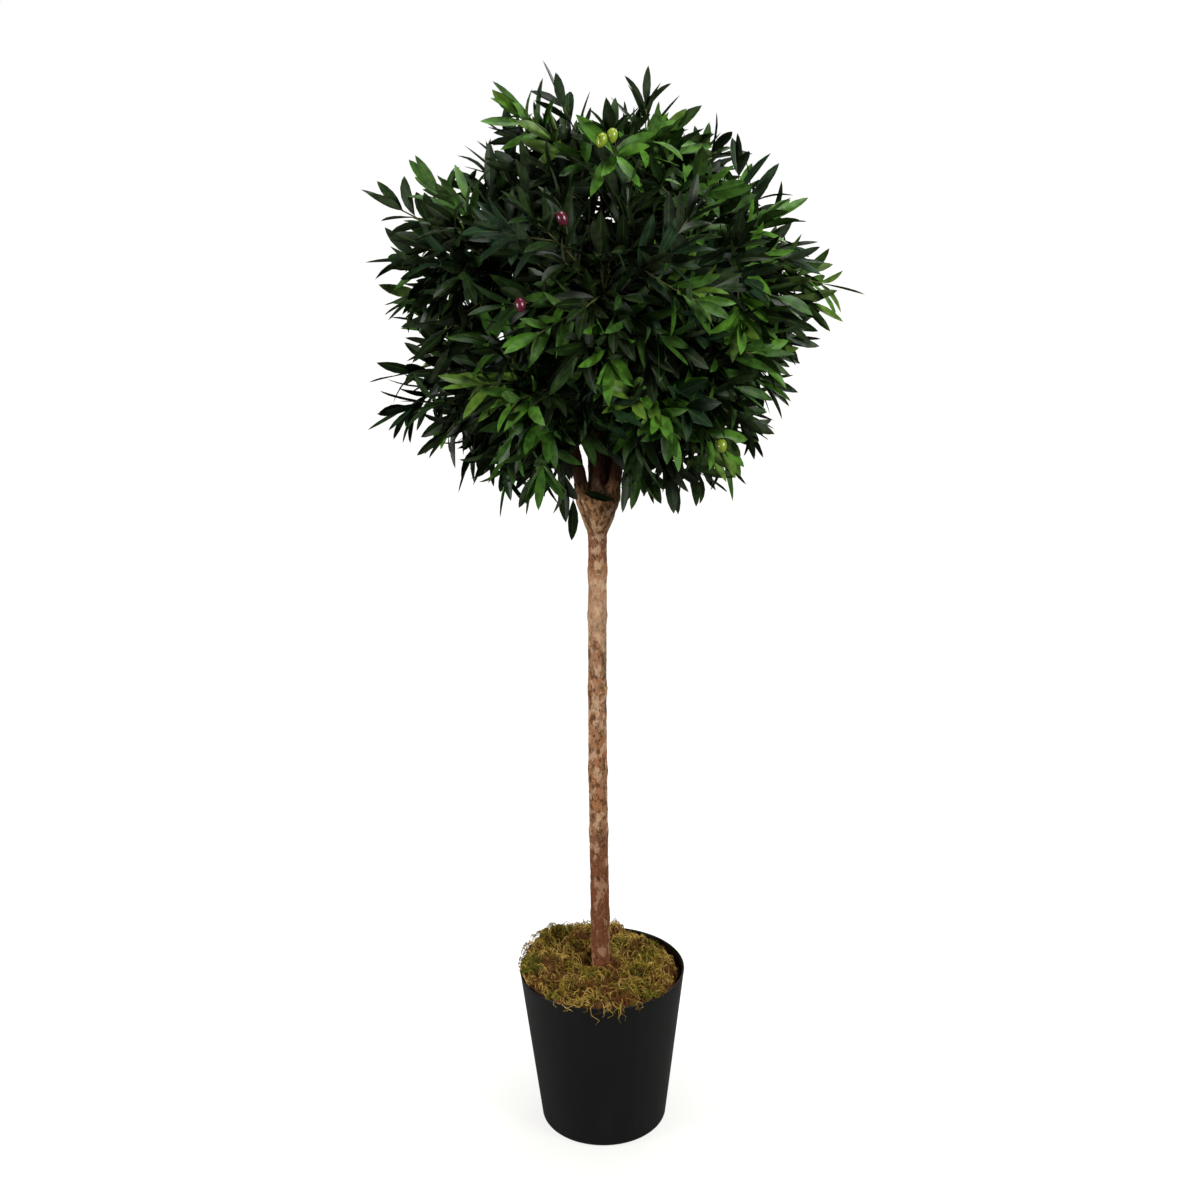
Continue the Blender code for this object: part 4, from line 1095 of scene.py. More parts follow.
    def side_twigs(self, points):
        """Side twigs at even steps, each turned on from the one before by the golden angle."""
        run = (points[-1] - points[0]).length
        turn = self.rng.uniform(0, 2 * math.pi)
        at = 0.020
        while at < run - 0.012:
            part = at / run
            index = min(len(points) - 2, int(part * (len(points) - 1)))
            tangent = (points[index + 1] - points[index]).normalized()
            root = points[index].lerp(points[index + 1], part * (len(points) - 1) - index)
            for attempt in range(SIDE_TWIG_TRIES):
                side = tangent.orthogonal().normalized()
                side.rotate(Matrix.Rotation(turn + attempt * 1.3, 3, tangent))
                angle = math.radians(self.rng.uniform(*SIDE_TWIG_ANGLE))
                way = tangent * math.cos(angle) + side * math.sin(angle)
                far = self.own.side_twig * self.rng.uniform(0.7, 1.25) * (1.0 - 0.30 * part)
                if self.side_twig(root, way, tangent, far):
                    break
            turn += GOLDEN_TURN
            at += self.own.side_step * self.rng.uniform(0.8, 1.2)

    def side_twig(self, root, way, ahead, far):
        """One side twig, bending back towards the way its parent runs. False if it doesn't fit."""
        last = self.own.leaf_length * LAST_SIDE_LEAF
        tip = root + way * far
        knee = root + way * far * 0.5
        tip += ahead * far * SIDE_TWIG_BEND
        beyond = tip + (tip - knee).normalized() * last
        offset = beyond - CROWN_CENTRE
        self.slack = self.rng.uniform(*SPRAY_SLACK)
        edge = reach(offset.normalized(), self.slack)
        if offset.length > edge or in_window(tip) or in_window(beyond):
            return False
        apart = self.own.apart * (1.0 if offset.length > OUTSIDE * edge else INNER_APART)
        if any((beyond - other).length < apart for other in self.ends):
            return False
        if not self.space.holds(tip, margin=-SIDE_TWIG_STRAY):
            return False
        steps = max(2, round(far / SIDE_TWIG_STEP))
        points = [bend(root, knee, tip, i / steps) for i in range(steps + 1)]
        if not clears_limbs(points[1:], TWIG_CLEAR):
            return False
        self.twigs.append((points, *SIDE_TWIG_RADII, 0))
        self.ends.append(beyond)
        self.spray(points, self.tone_at(tip), BARE_SIDE, last)
        return True

    def fill_stem(self, stem):
        """Short side twigs on the mass's own stem, and more about its foot: they close the heart."""
        self.side_twigs(stem)
        for _ in range(HEART_TWIGS):
            way = Vector([self.rng.gauss(0, 1) for _ in range(3)]).normalized()
            way = (way - self.out * 0.7).normalized()
            far = self.own.side_twig * self.rng.uniform(0.5, 1.1)
            self.side_twig(self.rng.choice(stem[1:4]), way, way, far)

    def spray(self, points, tone, bare, last=None):
        """Opposite pairs from the tip back, each turned a quarter on, and one leaf at the tip."""
        own = self.own
        tangent = (points[-1] - points[-2]).normalized()
        flat = tangent.cross(Vector((0.0, 0.0, 1.0)))
        flat = flat.normalized() if flat.length > 0.05 else tangent.orthogonal().normalized()
        if last:
            self.leaf(points[-1], tangent, flat, LAST_SPREAD, last / own.leaf_length, tone)
        reached = sum((b - a).length for a, b in zip(points, points[1:]))
        side = flat.copy()
        side.rotate(Matrix.Rotation(self.rng.uniform(0, math.pi), 3, tangent))
        first, added, most = PAIR_SPREAD
        back = 0.003
        place = 0
        while back < reached * (1.0 - bare):
            base, tangent = self.point_back(points, back)
            spread = min(most, first + added * place) + self.rng.uniform(-6, 6)
            size = min(1.0, PAIR_SIZE[0] + PAIR_SIZE[1] * place) * self.rng.uniform(0.90, 1.10)
            shade = tone
            if place < 1 and tone > TONES.index("teal") and self.rng.random() < YOUNG_SHARE:
                shade = min(len(TONES) - 1, tone + 1)
            for sign in (1, -1):
                self.leaf(base, tangent, side * sign, spread, size, shade)
            side = side.cross(tangent).normalized()
            back += own.pair_step * self.rng.uniform(0.85, 1.2)
            place += 1

    def point_back(self, points, back):
        """The point that far back from the tip along the twig, and the twig's way there."""
        for b, a in zip(points[::-1], points[-2::-1]):
            run = (b - a).length
            if back <= run:
                return b.lerp(a, back / run), (b - a).normalized()
            back -= run
        return points[0], (points[1] - points[0]).normalized()

    def leaf(self, base, tangent, side, spread, size, tone):
        """Adds the first leaf that fits, turned or smaller where it would leave the crown."""
        rng = self.rng
        angle = math.radians(spread)
        for turn, less in LEAF_TRIES:
            aside = side.copy()
            aside.rotate(Matrix.Rotation(math.radians(turn + rng.uniform(-9, 9)), 3, tangent))
            along = (tangent * math.cos(angle) + aside * math.sin(angle)).normalized()
            full = self.own.leaf_length * size * less
            if self.leaf_fits(base, along, full):
                break
        else:
            return
        if spread > LAST_SPREAD:
            top, bent = tangent + Vector((0.0, 0.0, 0.35)), (-0.15, 1.3)
        else:
            top, bent = Vector((0.0, 0.0, 1.0)) + self.out * 0.2, (-0.1, 0.2)
        top.normalize()
        top.rotate(Matrix.Rotation(math.radians(rng.gauss(0, 20)), 3, along))
        arch = self.own.arch * rng.uniform(*bent)
        twist = math.radians(rng.gauss(0, 16))
        fold = self.own.fold * rng.uniform(0.4, 1.5)
        self.leaves.append(Leaf(base, along, top, full, tone, arch, twist, fold))

    def leaf_fits(self, base, along, full):
        offset = base + along * full - CROWN_CENTRE
        if offset.length > reach(offset.normalized(), max(0.0, self.slack)) + 0.005:
            return False
        spots = [base + along * full * part for part in (0.35, 0.55, 0.75, 1.0)]
        if any(in_window(spot) for spot in spots):
            return False
        return clears_limbs(spots, LEAF_CLEAR)


@functools.cache
def grown():
    """Every mass, grown once and used by the pieces that show its twigs, leaves and fruit."""
    own = settings().leaves
    return {name: Mass(name, own).grow() for name in MASSES}


def leaf_points(leaves, own):
    """Points of every leaf as one array: leaves, then points of a leaf, then x, y, z."""
    rng = np.random.default_rng(SEED)
    root, along, top, size, _, arch, twist, fold = (np.array(column) for column in zip(*leaves))
    half = own.leaf_width / 2 * (size / own.leaf_length) ** 0.6 * rng.uniform(0.82, 1.16, len(leaves))
    side = np.cross(along, top)
    side /= np.linalg.norm(side, axis=1, keepdims=True)
    up = np.cross(side, along)
    arch = np.where(np.abs(arch) < 0.02, 0.02, arch)

    def at(part, across, lower):
        """A point that share along the leaf and that share across it; lower is its depth below."""
        bent = arch * part
        ahead = np.sin(bent) / arch * size
        down = (1.0 - np.cos(bent)) / arch * size
        tangent = along * np.cos(bent)[:, None] - up * np.sin(bent)[:, None]
        normal = up * np.cos(bent)[:, None] + along * np.sin(bent)[:, None]
        turned = twist * part
        flat = side * np.cos(turned)[:, None] + normal * np.sin(turned)[:, None]
        lift = np.cross(flat, tangent)
        x = across * half * np.cos(fold)
        z = np.abs(across) * half * np.sin(fold) - lower
        centre = root + along * ahead[:, None] - up * down[:, None]
        return centre + flat * x[:, None] + lift * z[:, None]

    rows = []
    for part, wide in LEAF_STATIONS:
        depth = own.thickness * (1.0 - 0.6 * part)
        narrow = max(wide * own.rib, 0.03)
        rows += [at(part, across, 0.0) for across in (-wide, -narrow, narrow, wide)]
        rows += [at(part, across, depth) for across in (narrow, -narrow)]
    rows.append(at(1.0, 0.0, 0.0))
    return np.stack(rows, axis=1)


def leaf_faces():
    """Faces of one leaf, and for each 0 on the upper side, 1 on the midrib, 2 on the lower side."""
    sides = (0, 1, 0, 2, 1, 2)
    ring = len(sides)
    last = len(LEAF_STATIONS) - 1
    faces, kinds = [], []
    for station in range(last + 1):
        low = station * ring
        for corner, kind in enumerate(sides):
            other = (corner + 1) % ring
            if station < last:
                faces.append((low + corner, low + other, low + other + ring, low + corner + ring))
            else:
                faces.append((low + corner, low + other, low + ring))
            kinds.append(kind)
    faces += [(0, 5, 1), (1, 5, 4, 2), (2, 4, 3)]
    return faces, kinds + [2, 2, 2]


def leaves_object(name, leaves, own, materials):
    """All leaves of a mass as one mesh. Its materials are upper, midrib and lower for each tone."""
    points = leaf_points(leaves, own)
    faces, kinds = leaf_faces()
    each = points.shape[1]
    mesh = bpy.data.meshes.new(name)
    starts = [each * index for index in range(len(leaves))]
    every = [tuple(start + corner for corner in face) for start in starts for face in faces]
    mesh.from_pydata(points.reshape(-1, 3).tolist(), [], every)
    obj = new_object(name, mesh, *materials)
    tints = [leaf.tone * 3 + kind for leaf in leaves for kind in kinds]
    mesh.polygons.foreach_set("material_index", tints)
    mesh.shade_smooth()
    mesh.set_sharp_from_angle(angle=math.radians(60.0))
    mesh.update()
    return obj


@functools.cache
def leaf_materials():
    own = settings().leaves
    materials = []
    sides = (
        ("", own.young, 0.05, 0.43),
        ("_rib", own.young, 0.30, 0.50),
        ("_under", own.under, 0.55, 0.60),
    )
    for tone in TONES:
        tint = tuple(getattr(own, tone))
        for side, towards, amount, roughness in sides:
            materials.append(leaf_finish(f"leaf_{tone}{side}", lighter(tint, towards, amount), roughness))
    return materials


# ---------------------------------------------------------------- operators


class OLIVE_OT_pot(bpy.types.Operator):
    """Turn the pot with its lip, rounded foot and mould seam, and finish its filling"""

    bl_idname = "olive.pot"
    bl_label = "Pot"

    def execute(self, context):
        own = settings().pot
        mesh = bpy.data.meshes.new("pot_shell")
        points = [(radius, 0.0, height) for radius, height in self.profile(own)]
        mesh.from_pydata(points, [(i, i + 1) for i in range(len(points) - 1)], [])
        pot = new_object("pot_shell", mesh, plastic_finish(own))
        turn = pot.modifiers.new("Turn", "SCREW")
        turn.steps = turn.render_steps = own.segments
        turn.use_merge_vertices = True
        turn.merge_threshold = 1e-5
        apply_modifiers(pot)
        self.raise_seam(pot.data, own)
        pot.data.shade_smooth()
        pot.data.set_sharp_from_angle(angle=math.radians(50))
        show(pot, "black_plastic", "pot")
        fill = frame["nodes"]["pot_fill"]
        fill.data.materials.clear()
        fill.data.materials.append(cement_finish(own))
        return {"FINISHED"}

    def profile(self, own):
        """Down the outer side from the inner floor over the lip to the middle of the underside."""
        inner_low = pot_radius(POT_FLOOR) - POT_WALL - POT_CORNER
        wall_top = POT_HEIGHT - own.lip * 3
        points = [(0.0, POT_FLOOR), (inner_low, POT_FLOOR)]
        points.append((pot_radius(POT_FLOOR + POT_CORNER) - POT_WALL, POT_FLOOR + POT_CORNER))
        points.append((pot_radius(wall_top) - POT_WALL, wall_top))
        thick = POT_WALL / 2
        middle = POT_TOP_RADIUS - thick
        for step in range(9):
            angle = math.pi * (1.0 - step / 8)
            points.append((middle + thick * math.cos(angle), POT_HEIGHT - thick + thick * math.sin(angle)))
        points.append((pot_radius(POT_HEIGHT - LIP_DEPTH), POT_HEIGHT - LIP_DEPTH))
        points += [(pot_radius(POT_HEIGHT * i / 6), POT_HEIGHT * i / 6) for i in (5, 4, 3, 2, 1)]
        heel = own.heel
        for step in range(8):
            angle = math.pi / 2 * step / 7
            drop = heel * (1.0 - math.sin(angle))
            points.append((pot_radius(heel) - heel * (1.0 - math.cos(angle)), drop))
        foot = POT_BASE_RADIUS - heel - FOOT_RING
        return points + [(foot, 0.0), (foot - FOOT_SLOPE, FOOT_RECESS), (0.0, FOOT_RECESS)]

    def raise_seam(self, mesh, own):
        """A faint upright ridge where the mould's halves met."""
        width = 2 * math.pi / own.segments
        for vertex in mesh.vertices:
            x, y, height = vertex.co
            radius = vertex.co.xy.length
            if radius < pot_radius(height) - POT_WALL / 2 or height < 0.004:
                continue
            off = (math.atan2(y, x) - own.seam_angle + math.pi) % (2 * math.pi) - math.pi
            vertex.co.xy *= 1.0 + own.seam_height / radius * math.exp(-((off / width) ** 2))


class OLIVE_OT_moss(bpy.types.Operator):
    """Lay the moss: a lumpy bed, and curled strands of several colours that lap the rim"""

    bl_idname = "olive.moss"
    bl_label = "Moss"

    def execute(self, context):
        own = settings().moss
        show(self.bed(own), "dried_moss", "moss")
        show(self.strands(own), "dried_moss", "moss")
        return {"FINISHED"}

    def surface(self, x, y):
        """The moss's own height, with finer tufts than the solid has."""
        spot = Vector((x, y, 0.3))
        tufts = sum(noise.noise(spot * fine) * high for fine, high in MOSS_TUFTS)
        aside, behind, wide, deep = MOSS_HOLLOW
        hollow = deep * math.exp(-((math.hypot(x - aside, y - behind) / wide) ** 2))
        return moss_top(x, y) + tufts - hollow

    def bed(self, own):
        hole = STEM_BASE_RADIUS + 0.0016
        edge = pot_radius(POT_HEIGHT) - POT_WALL - 0.0012
        rings, sides = MOSS_RINGS, MOSS_SIDES
        turns = [2 * math.pi * corner / sides for corner in range(sides)]
        rows = []
        for ring in range(rings + 1):
            radius = hole + (edge - hole) * ring / rings
            for turn in turns:
                x, y = radius * math.cos(turn), radius * math.sin(turn)
                height = self.surface(x, y)
                if ring == rings:
                    height = min(height, POT_HEIGHT + 0.002)
                rows.append((x, y, height))
        for radius in (edge - 0.0008, hole):
            rows += [(radius * math.cos(turn), radius * math.sin(turn), FILL_TOP + 0.001) for turn in turns]
        around = [(i, (i + 1) % sides) for i in range(sides)]
        faces = [
            (r * sides + a, (r + 1) * sides + a, (r + 1) * sides + b, r * sides + b)
            for r in range(rings + 2)
            for a, b in around
        ]
        last = (rings + 2) * sides
        faces += [(last + a, a, b, last + b) for a, b in around]
        heap = Heap()
        heap.add(rows, faces, 0)
        # Painted shade: the bed is a dark brown near the shade colour, standing for the shadow in the gaps between the
        # strands.
        painted_shade_tint = lighter(own.brown, own.shade, 0.55)
        return heap.build("moss_bed", moss_finish("moss_bed", painted_shade_tint, own.shade))

    def edge(self, compass):
        """How far out the strands go: over the rim at the left and in front, short of it elsewhere."""
        for begin, end, far in MOSS_LAPS:
            if begin <= math.degrees(compass) % 360 < end:
                return POT_TOP_RADIUS + far
        return POT_TOP_RADIUS - MOSS_SHORT

    def strands(self, own):
        """Tufts of strands that fan out over the bed, each tuft of one colour with a few of another."""
        rng = random.Random(SEED)
        heap = Heap()
        for _ in range(own.tufts):
            compass = rng.uniform(0, 2 * math.pi)
            radius = self.edge(compass) * math.sqrt(rng.uniform(0.015, 1.0))
            x, y = radius * math.cos(compass), radius * math.sin(compass)
            clump = noise.noise(Vector((x * 24.0, y * 24.0, 4.0)))
            tone = self.tone(rng, clump)
            heading = rng.uniform(0, 2 * math.pi)
            for _ in range(own.tuft_strands):
                away = heading + rng.uniform(-1.1, 1.1)
                root = Vector((x + rng.gauss(0, 0.003), y + rng.gauss(0, 0.003), 0.0))
                mixed = tone if rng.random() < 0.7 else self.tone(rng, clump)
                self.add_strand(heap, rng, self.creep(rng, root, away, own), own, mixed)
        for _ in range(own.hanging):
            self.add_strand(heap, rng, self.hang(rng), own, rng.choice((0, 0, 1, 3)))
        tints = {tone: getattr(own, tone) for tone in MOSS_TONES}
        materials = [
            moss_finish(f"moss_{tone}", tint, lighter(tint, own.shade, 0.6)) for tone, tint in tints.items()
        ]
        return heap.build("moss_strands", *materials)

    def tone(self, rng, clump):
        """The place of a strand's tone in MOSS_TONES: brown ones lie together, and so do green ones."""
        return rng.choice(next(mix for most, mix in MOSS_MIXES if clump <= most))

    def add_strand(self, heap, rng, points, own, tone):
        middle = own.strand_radius * rng.uniform(0.6, 1.35)
        steps = len(points)
        radii = [middle * (0.35 + 0.65 * math.sin(math.pi * (i + 0.5) / steps)) for i in range(steps)]
        rows, faces = tube(points, radii, 3, rng.uniform(0, 2))
        heap.add(rows, faces, tone)

    def creep(self, rng, spot, heading, own):
        """Points of a strand that rises out of the bed in a bow and comes down again."""
        steps = STRAND_STEPS
        step = own.strand_length * rng.uniform(0.6, 1.4) / steps
        swing = rng.choice((-1, 1)) * own.curl
        climb = rng.uniform(*STRAND_CLIMB)
        points = []
        for i in range(steps):
            radius = spot.xy.length
            if radius < STEM_BASE_RADIUS + 0.001:
                spot.xy *= (STEM_BASE_RADIUS + 0.002) / max(radius, 1e-4)
            most = self.edge(math.atan2(spot.y, spot.x))
            if radius > most:
                spot.xy *= most / radius
            inside = min(1.0, (POT_TOP_RADIUS - POT_WALL - 0.002) / max(spot.xy.length, 1e-6))
            height = self.surface(spot.x * inside, spot.y * inside)
            outside = radius > POT_TOP_RADIUS - POT_WALL - 0.001
            height += climb * math.sin(math.pi * (i + 0.3) / steps) * (0.3 if outside else 1.0) - 0.0005
            if outside:
                height = max(height, POT_HEIGHT + 0.0008)
            points.append(Vector((spot.x, spot.y, height)))
            heading += swing * rng.uniform(0.0, 1.6)
            spot = spot + Vector((math.cos(heading), math.sin(heading), 0.0)) * step
        return points

    def hang(self, rng):
        """Points of a loose strand that comes over the rim and hangs down the pot."""
        compass = rng.gauss(HANG_SIDE, 17) if rng.random() < 0.75 else rng.uniform(*HANG_SIDES)
        near = math.exp(-(((compass - HANG_SIDE) / 30) ** 2))
        long = HANG_LENGTH * rng.random() ** 2 * near + 0.004
        over = list(HANG_START)
        over += [(0.0016 + 0.003 * rng.random(), -long * part) for part in (0.35, 0.7, 1.0)]
        points = []
        for out, rise in over:
            compass += rng.gauss(0, 2.2)
            side = toward(compass, 0) * (POT_TOP_RADIUS + out)
            points.append(Vector((side.x, side.y, POT_HEIGHT + rise)))
        return points


class OLIVE_OT_bark(bpy.types.Operator):
    """Model stem, head, boughs and side limbs as one piece of wood with its bark's relief"""

    bl_idname = "olive.bark"
    bl_label = "Bark"

    def execute(self, context):
        own = settings().bark
        heap = Heap()
        self.add_stem(heap, own.swell)
        for start, middle, end, thick, thin in limb_curves().values():
            self.add_limb(heap, start, middle, end, thick, thin)
        bark = heap.build("bark", bark_finish(own))
        shape = bark.modifiers.new("One skin", "REMESH")
        shape.mode = "VOXEL"
        shape.voxel_size = own.cell
        ease = bark.modifiers.new("Ease", "SMOOTH")
        ease.factor = 0.5
        ease.iterations = 8
        apply_modifiers(bark)
        self.relief(bark.data, own)
        bark.data.shade_smooth()
        wood = [f"bough_{name}" for name in BOUGHS] + [f"limb_{name}" for name in LIMBS]
        show(bark, "bark", "trunk", *wood)
        return {"FINISHED"}

    def add_stem(self, heap, swell):
        """The stem up to its flared head, and the saddle between the boughs' feet."""
        foot, steps = FILL_TOP + GAP, 120
        heights = [foot + (HEAD_HEIGHT - foot) * i / steps for i in range(steps + 1)]
        radii = [stem_radius(height) + swell for height in heights]
        heap.add(*tube([stem_centre(height) for height in heights], radii, STEM_SIDES), 0)
        head, steps = stem_centre(HEAD_HEIGHT), 10
        turns = [math.pi / 2 * i / steps for i in range(steps)]
        points = [head + Vector((0.0, 0.0, SADDLE * math.sin(turn) - 0.004)) for turn in turns]
        radii = [(HEAD_RADIUS - 0.002) * math.cos(turn) for turn in turns]
        heap.add(*tube(points, radii, STEM_SIDES), 0)

    def add_limb(self, heap, start, middle, end, thick, thin):
        """One limb, its flared foot sunk into what carries it so that the skin runs on."""
        steps = 40
        points = [bend(start, middle, end, i / steps) for i in range(steps + 1)]
        square = (middle - start).normalized()
        on_head = start.z < HEAD_HEIGHT + 0.01
        points.insert(0, start - square * (HEAD_SINK if on_head else LIMB_SINK))
        radii = taper(thick, thin, steps + 1)
        radii.insert(0, thick)
        flare = FOOT_FLARE if on_head else LIMB_FLARE
        swollen = [
            radius * (1.0 + flare * math.exp(-(point - start).length / FLARE_LENGTH))
            for point, radius in zip(points, radii)
        ]
        heap.add(*tube(points, swollen, LIMB_SIDES), 0)

    def rise(self, x, y, z, own):
        """How far the skin moves out at a point."""

        def grain(across, upright, shift=(0.0, 0.0, 0.0)):
            return noise.noise(Vector((x * across, y * across, z * upright)) + Vector(shift))

        lump, ridge, fine = grain(60.0, 34.0), grain(240.0, 90.0), grain(520.0, 300.0)
        scar = max(0.0, grain(120.0, 95.0, (7.0, 3.0, 1.0)) - 0.42)
        head = ease_between(z, NECK_HEIGHT, NECK_HEIGHT + 0.02)
        coarse = 0.5 * lump + (0.6 + 0.6 * head) * ridge - 1.4 * scar
        return own.relief * coarse + own.grain * fine

    def relief(self, mesh, own):
        """Moves the skin in and out: lumps, upright ridges, scars and a puckered head."""
        places, normals = np.empty(len(mesh.vertices) * 3), np.empty(len(mesh.vertices) * 3)
        mesh.vertices.foreach_get("co", places)
        mesh.vertices.foreach_get("normal", normals)
        places, normals = places.reshape(-1, 3), normals.reshape(-1, 3)
        moves = np.array([self.rise(x, y, z, own) for x, y, z in places])
        low = np.clip((places[:, 2] - FILL_TOP) / 0.01, 0.0, 1.0)
        places += normals * (moves * low)[:, None]
        mesh.vertices.foreach_set("co", places.ravel())
        mesh.update()


class OLIVE_OT_twigs(bpy.types.Operator):
    """Grow the stems and twigs of every mass as one piece"""

    bl_idname = "olive.twigs"
    bl_label = "Twigs"

    def execute(self, context):
        own = settings().leaves
        heap = Heap()
        for mass in grown().values():
            for points, thick, thin, woody in mass.twigs:
                heap.add(*tube(points, taper(thick, thin, len(points)), 7 if woody else 4), woody)
        green = leaf_finish("twig_green", own.twig, 0.6)
        wood = leaf_finish("twig_wood", own.wood, 0.75)
        show(heap.build("twigs", green, wood), "bark", *(f"foliage_{name}" for name in MASSES))
        return {"FINISHED"}


class OLIVE_OT_leaves(bpy.types.Operator):
    """Hang the leaves of every mass on its twigs, one piece a mass"""

    bl_idname = "olive.leaves"
    bl_label = "Leaves"

    def execute(self, context):
        own = settings().leaves
        for name, mass in grown().items():
            leaves = leaves_object(f"leaves_{name}", mass.leaves, own, leaf_materials())
            show(leaves, "leaf_green", f"foliage_{name}")
        return {"FINISHED"}


class OLIVE_OT_olives(bpy.types.Operator):
    """Hang the olives on short stalks from the nearest twigs"""

    bl_idname = "olive.olives"
    bl_label = "Olives"

    def execute(self, context):
        own = settings().olives
        heap = Heap()
        spots = [spot for mass in grown().values() for points, *_ in mass.twigs for spot in points[1:]]
        for compass, height, part, ripe in OLIVES:
            direction = toward(compass, height)
            place = CROWN_CENTRE + direction * reach(direction) * part
            root = min(spots, key=lambda spot: (spot - place).length)
            if (place - root).length > STALK_MOST:
                place = root + (place - root).normalized() * STALK_MOST
            self.olive(heap, own, root, place, 1 if ripe else 0)
        green = olive_finish("olive_green", own.green, lighter(own.green, own.green_blush, 0.8))
        ripe = olive_finish("olive_ripe", own.ripe, own.ripe_blush)
        stalk = leaf_finish("olive_stalk", settings().leaves.twig, 0.6)
        show(heap.build("olives", green, ripe, stalk), "olive_skin")
        return {"FINISHED"}

    def olive(self, heap, own, root, place, tint):
        """A slender egg that hangs from a stalk."""
        middle = root.lerp(place, 0.6) + Vector((0.0, 0.0, 0.001))
        heap.add(*tube([root, middle, place], STALK_RADII, 5), 2)
        hang = ((place - root).normalized() * 0.5 + Vector((0.0, 0.0, -1.0))).normalized()
        side = hang.orthogonal().normalized()
        across = hang.cross(side)
        bm = bmesh.new()
        bmesh.ops.create_uvsphere(bm, u_segments=20, v_segments=14, radius=1.0)
        rows = []
        for vertex in bm.verts:
            x, y, z = vertex.co
            plump = 1.0 - 0.10 * z
            offset = side * x * plump * own.olive_width / 2 + across * y * plump * own.olive_width / 2
            rows.append(place + offset + hang * (z + 0.96) * own.olive_length / 2)
        faces = []
        for face in bm.faces:
            corners = [vertex.index for vertex in face.verts]
            first = corners.index(min(corners))
            faces.append(tuple(corners[first:] + corners[:first]))
        bm.free()
        heap.add(rows, sorted(faces), tint)


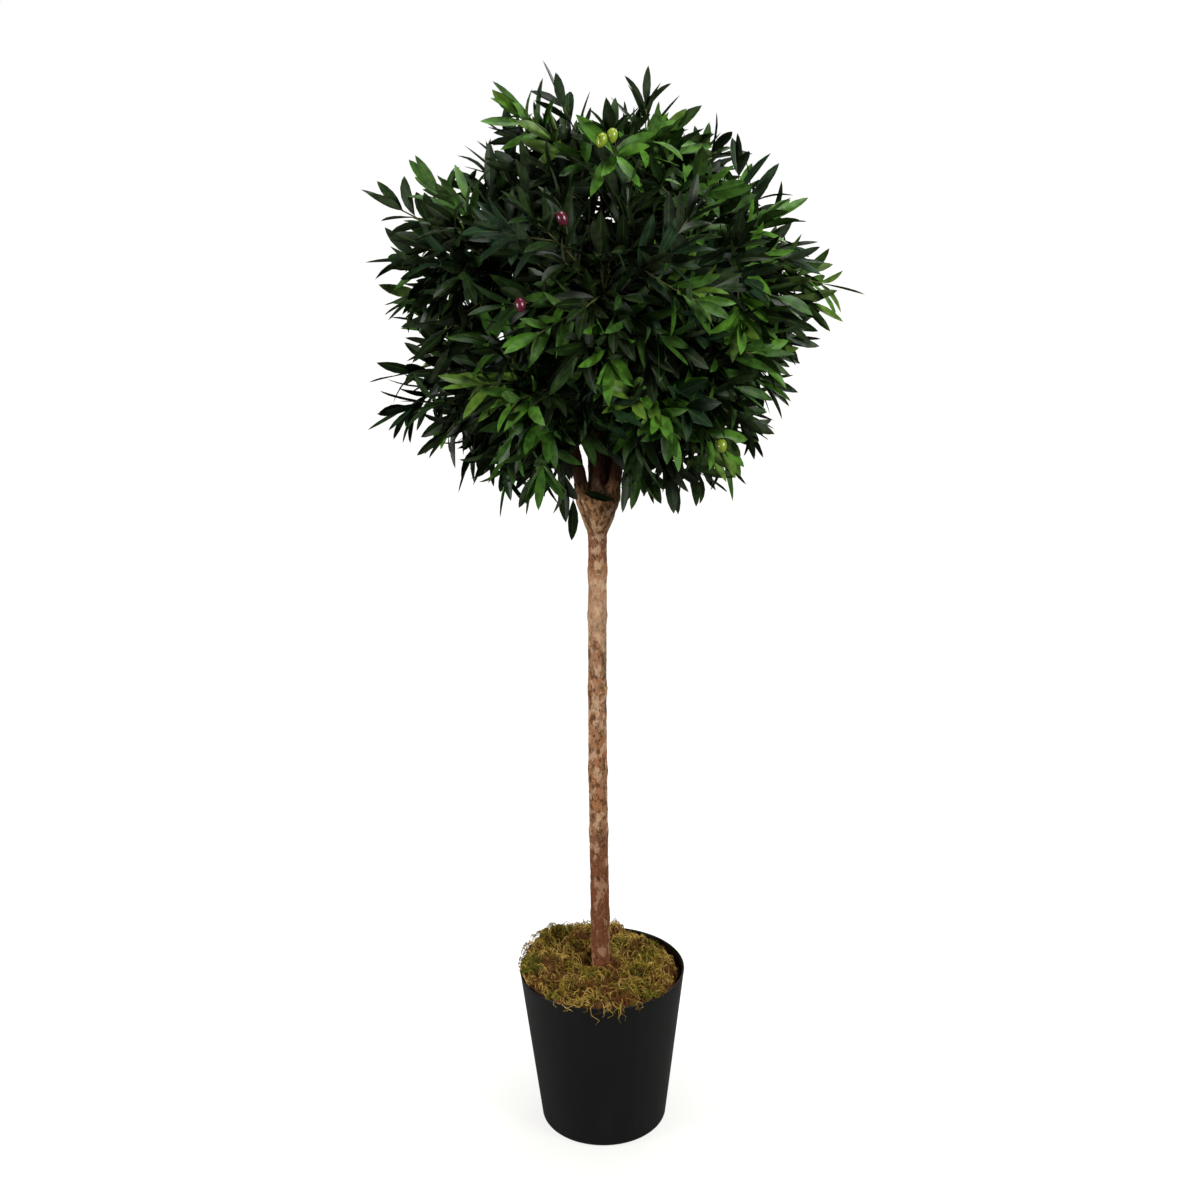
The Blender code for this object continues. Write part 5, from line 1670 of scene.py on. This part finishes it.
class OLIVE_OT_stage(bpy.types.Operator):
    """Set the floor, the white surround, the soft lamps and the camera"""

    bl_idname = "olive.stage"
    bl_label = "Stage"

    def execute(self, context):
        own = settings().stage
        self.floor(own)
        self.surround(own)
        for name, place in LAMPS.items():
            self.lamp(name, getattr(own, name), own.lamp_size, Vector(place))
        self.camera(own)
        context.scene.view_settings.view_transform = "Standard"
        return {"FINISHED"}

    def floor(self, own):
        mesh = bpy.data.meshes.new("floor")
        bm = bmesh.new()
        bmesh.ops.create_grid(bm, x_segments=2, y_segments=2, size=30.0)
        bm.to_mesh(mesh)
        bm.free()
        finish = Finish("floor", own.floor, Roughness=0.9, Emission_Color=(1.0, 0.994, 0.972, 1.0))
        place = add_node(finish.tree, "TexCoord", {})["Object"]
        away = add_node(finish.tree, "VectorMath", {0: place}, operation="LENGTH")["Value"]
        # The glow rises from its value near the pot to its value far off: the dimmer, warm ring round the pot is a
        # painted soft shadow.
        spread = {"Value": away, "From Min": POT_BASE_RADIUS, "From Max": PAINTED_SHADOW_EDGE}
        spread.update({"To Min": own.painted_shadow_glow, "To Max": own.glow_far})
        glow = add_node(finish.tree, "MapRange", spread)["Result"]
        self.seen_as(finish.tree, finish.shader.inputs["Emission Strength"], glow, own.floor_bounce)
        floor = new_object("floor", mesh, finish.material)
        floor.location.z = -0.0004
        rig.stage(floor)

    def surround(self, own):
        world = bpy.data.worlds.new("surround")
        world.use_nodes = True
        background = world.node_tree.nodes["Background"]
        background.inputs["Color"].default_value = (1.0, 1.0, 1.0, 1.0)
        self.seen_as(world.node_tree, background.inputs["Strength"], 1.0, own.sky)
        bpy.context.scene.world = world

    def seen_as(self, tree, socket, by_camera, by_object):
        """A white studio: plain white to look at, and a dimmer light on the object itself."""
        seen = add_node(tree, "LightPath", {})["Is Camera Ray"]
        spread = {"Value": seen, "To Min": by_object, "To Max": by_camera}
        tree.links.new(add_node(tree, "MapRange", spread)["Result"], socket)

    def lamp(self, name, power, size, place):
        lamp = bpy.data.lights.new(name, "AREA")
        lamp.energy = power
        lamp.shape = "SQUARE"
        lamp.size = size
        obj = new_object(name, lamp)
        obj.location = place
        obj.rotation_euler = (CROWN_CENTRE - place).to_track_quat("-Z", "Y").to_euler()

    def camera(self, own):
        lens = bpy.data.cameras.new("camera")
        lens.lens = own.lens
        lens.sensor_width = 36.0
        obj = new_object("camera", lens)
        tilt = Matrix.Rotation(math.pi / 2 - own.pitch, 4, "X") @ Matrix.Rotation(own.roll, 4, "Z")
        obj.matrix_world = Matrix.Translation((own.aside, -own.distance, own.height)) @ tilt
        bpy.context.scene.camera = obj


class OLIVE_PT_tree(bpy.types.Panel):
    """Every operator and setting of the tree."""

    bl_label = "Olive tree"
    bl_idname = "OLIVE_PT_tree"
    bl_space_type = "VIEW_3D"
    bl_region_type = "UI"
    bl_category = "Olive tree"

    def draw(self, context):
        for label in ("pot", "moss", "bark", "twigs", "leaves", "olives", "stage"):
            box = self.layout.box()
            box.operator(f"olive.{label}")
            own = getattr(context.scene.olive_tree, label, None)
            for name in own.bl_rna.properties.keys() if own else ():
                if name not in ("rna_type", "name"):
                    box.prop(own, name)


PROPERTY_GROUPS = (
    PotSettings,
    MossSettings,
    BarkSettings,
    LeafSettings,
    OliveSettings,
    StageSettings,
    TreeSettings,
)
OPERATORS = (
    OLIVE_OT_pot,
    OLIVE_OT_moss,
    OLIVE_OT_bark,
    OLIVE_OT_twigs,
    OLIVE_OT_leaves,
    OLIVE_OT_olives,
    OLIVE_OT_stage,
)


def register():
    for cls in (*PROPERTY_GROUPS, *OPERATORS, OLIVE_PT_tree):
        bpy.utils.register_class(cls)
    bpy.types.Scene.olive_tree = PointerProperty(type=TreeSettings)


def unregister():
    del bpy.types.Scene.olive_tree
    for cls in reversed((*PROPERTY_GROUPS, *OPERATORS, OLIVE_PT_tree)):
        bpy.utils.unregister_class(cls)


def main():
    register()
    bpy.ops.olive.stage()
    bpy.ops.olive.pot()
    bpy.ops.olive.moss()
    bpy.ops.olive.bark()
    bpy.ops.olive.twigs()
    bpy.ops.olive.leaves()
    bpy.ops.olive.olives()
    visual_box = [list(corner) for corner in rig.bounds()]
    with open(SIZE_FILE, "w") as size_file:
        json.dump({"cad": CAD_BOX, "visual": visual_box}, size_file)


if __name__ == "__main__":
    main()
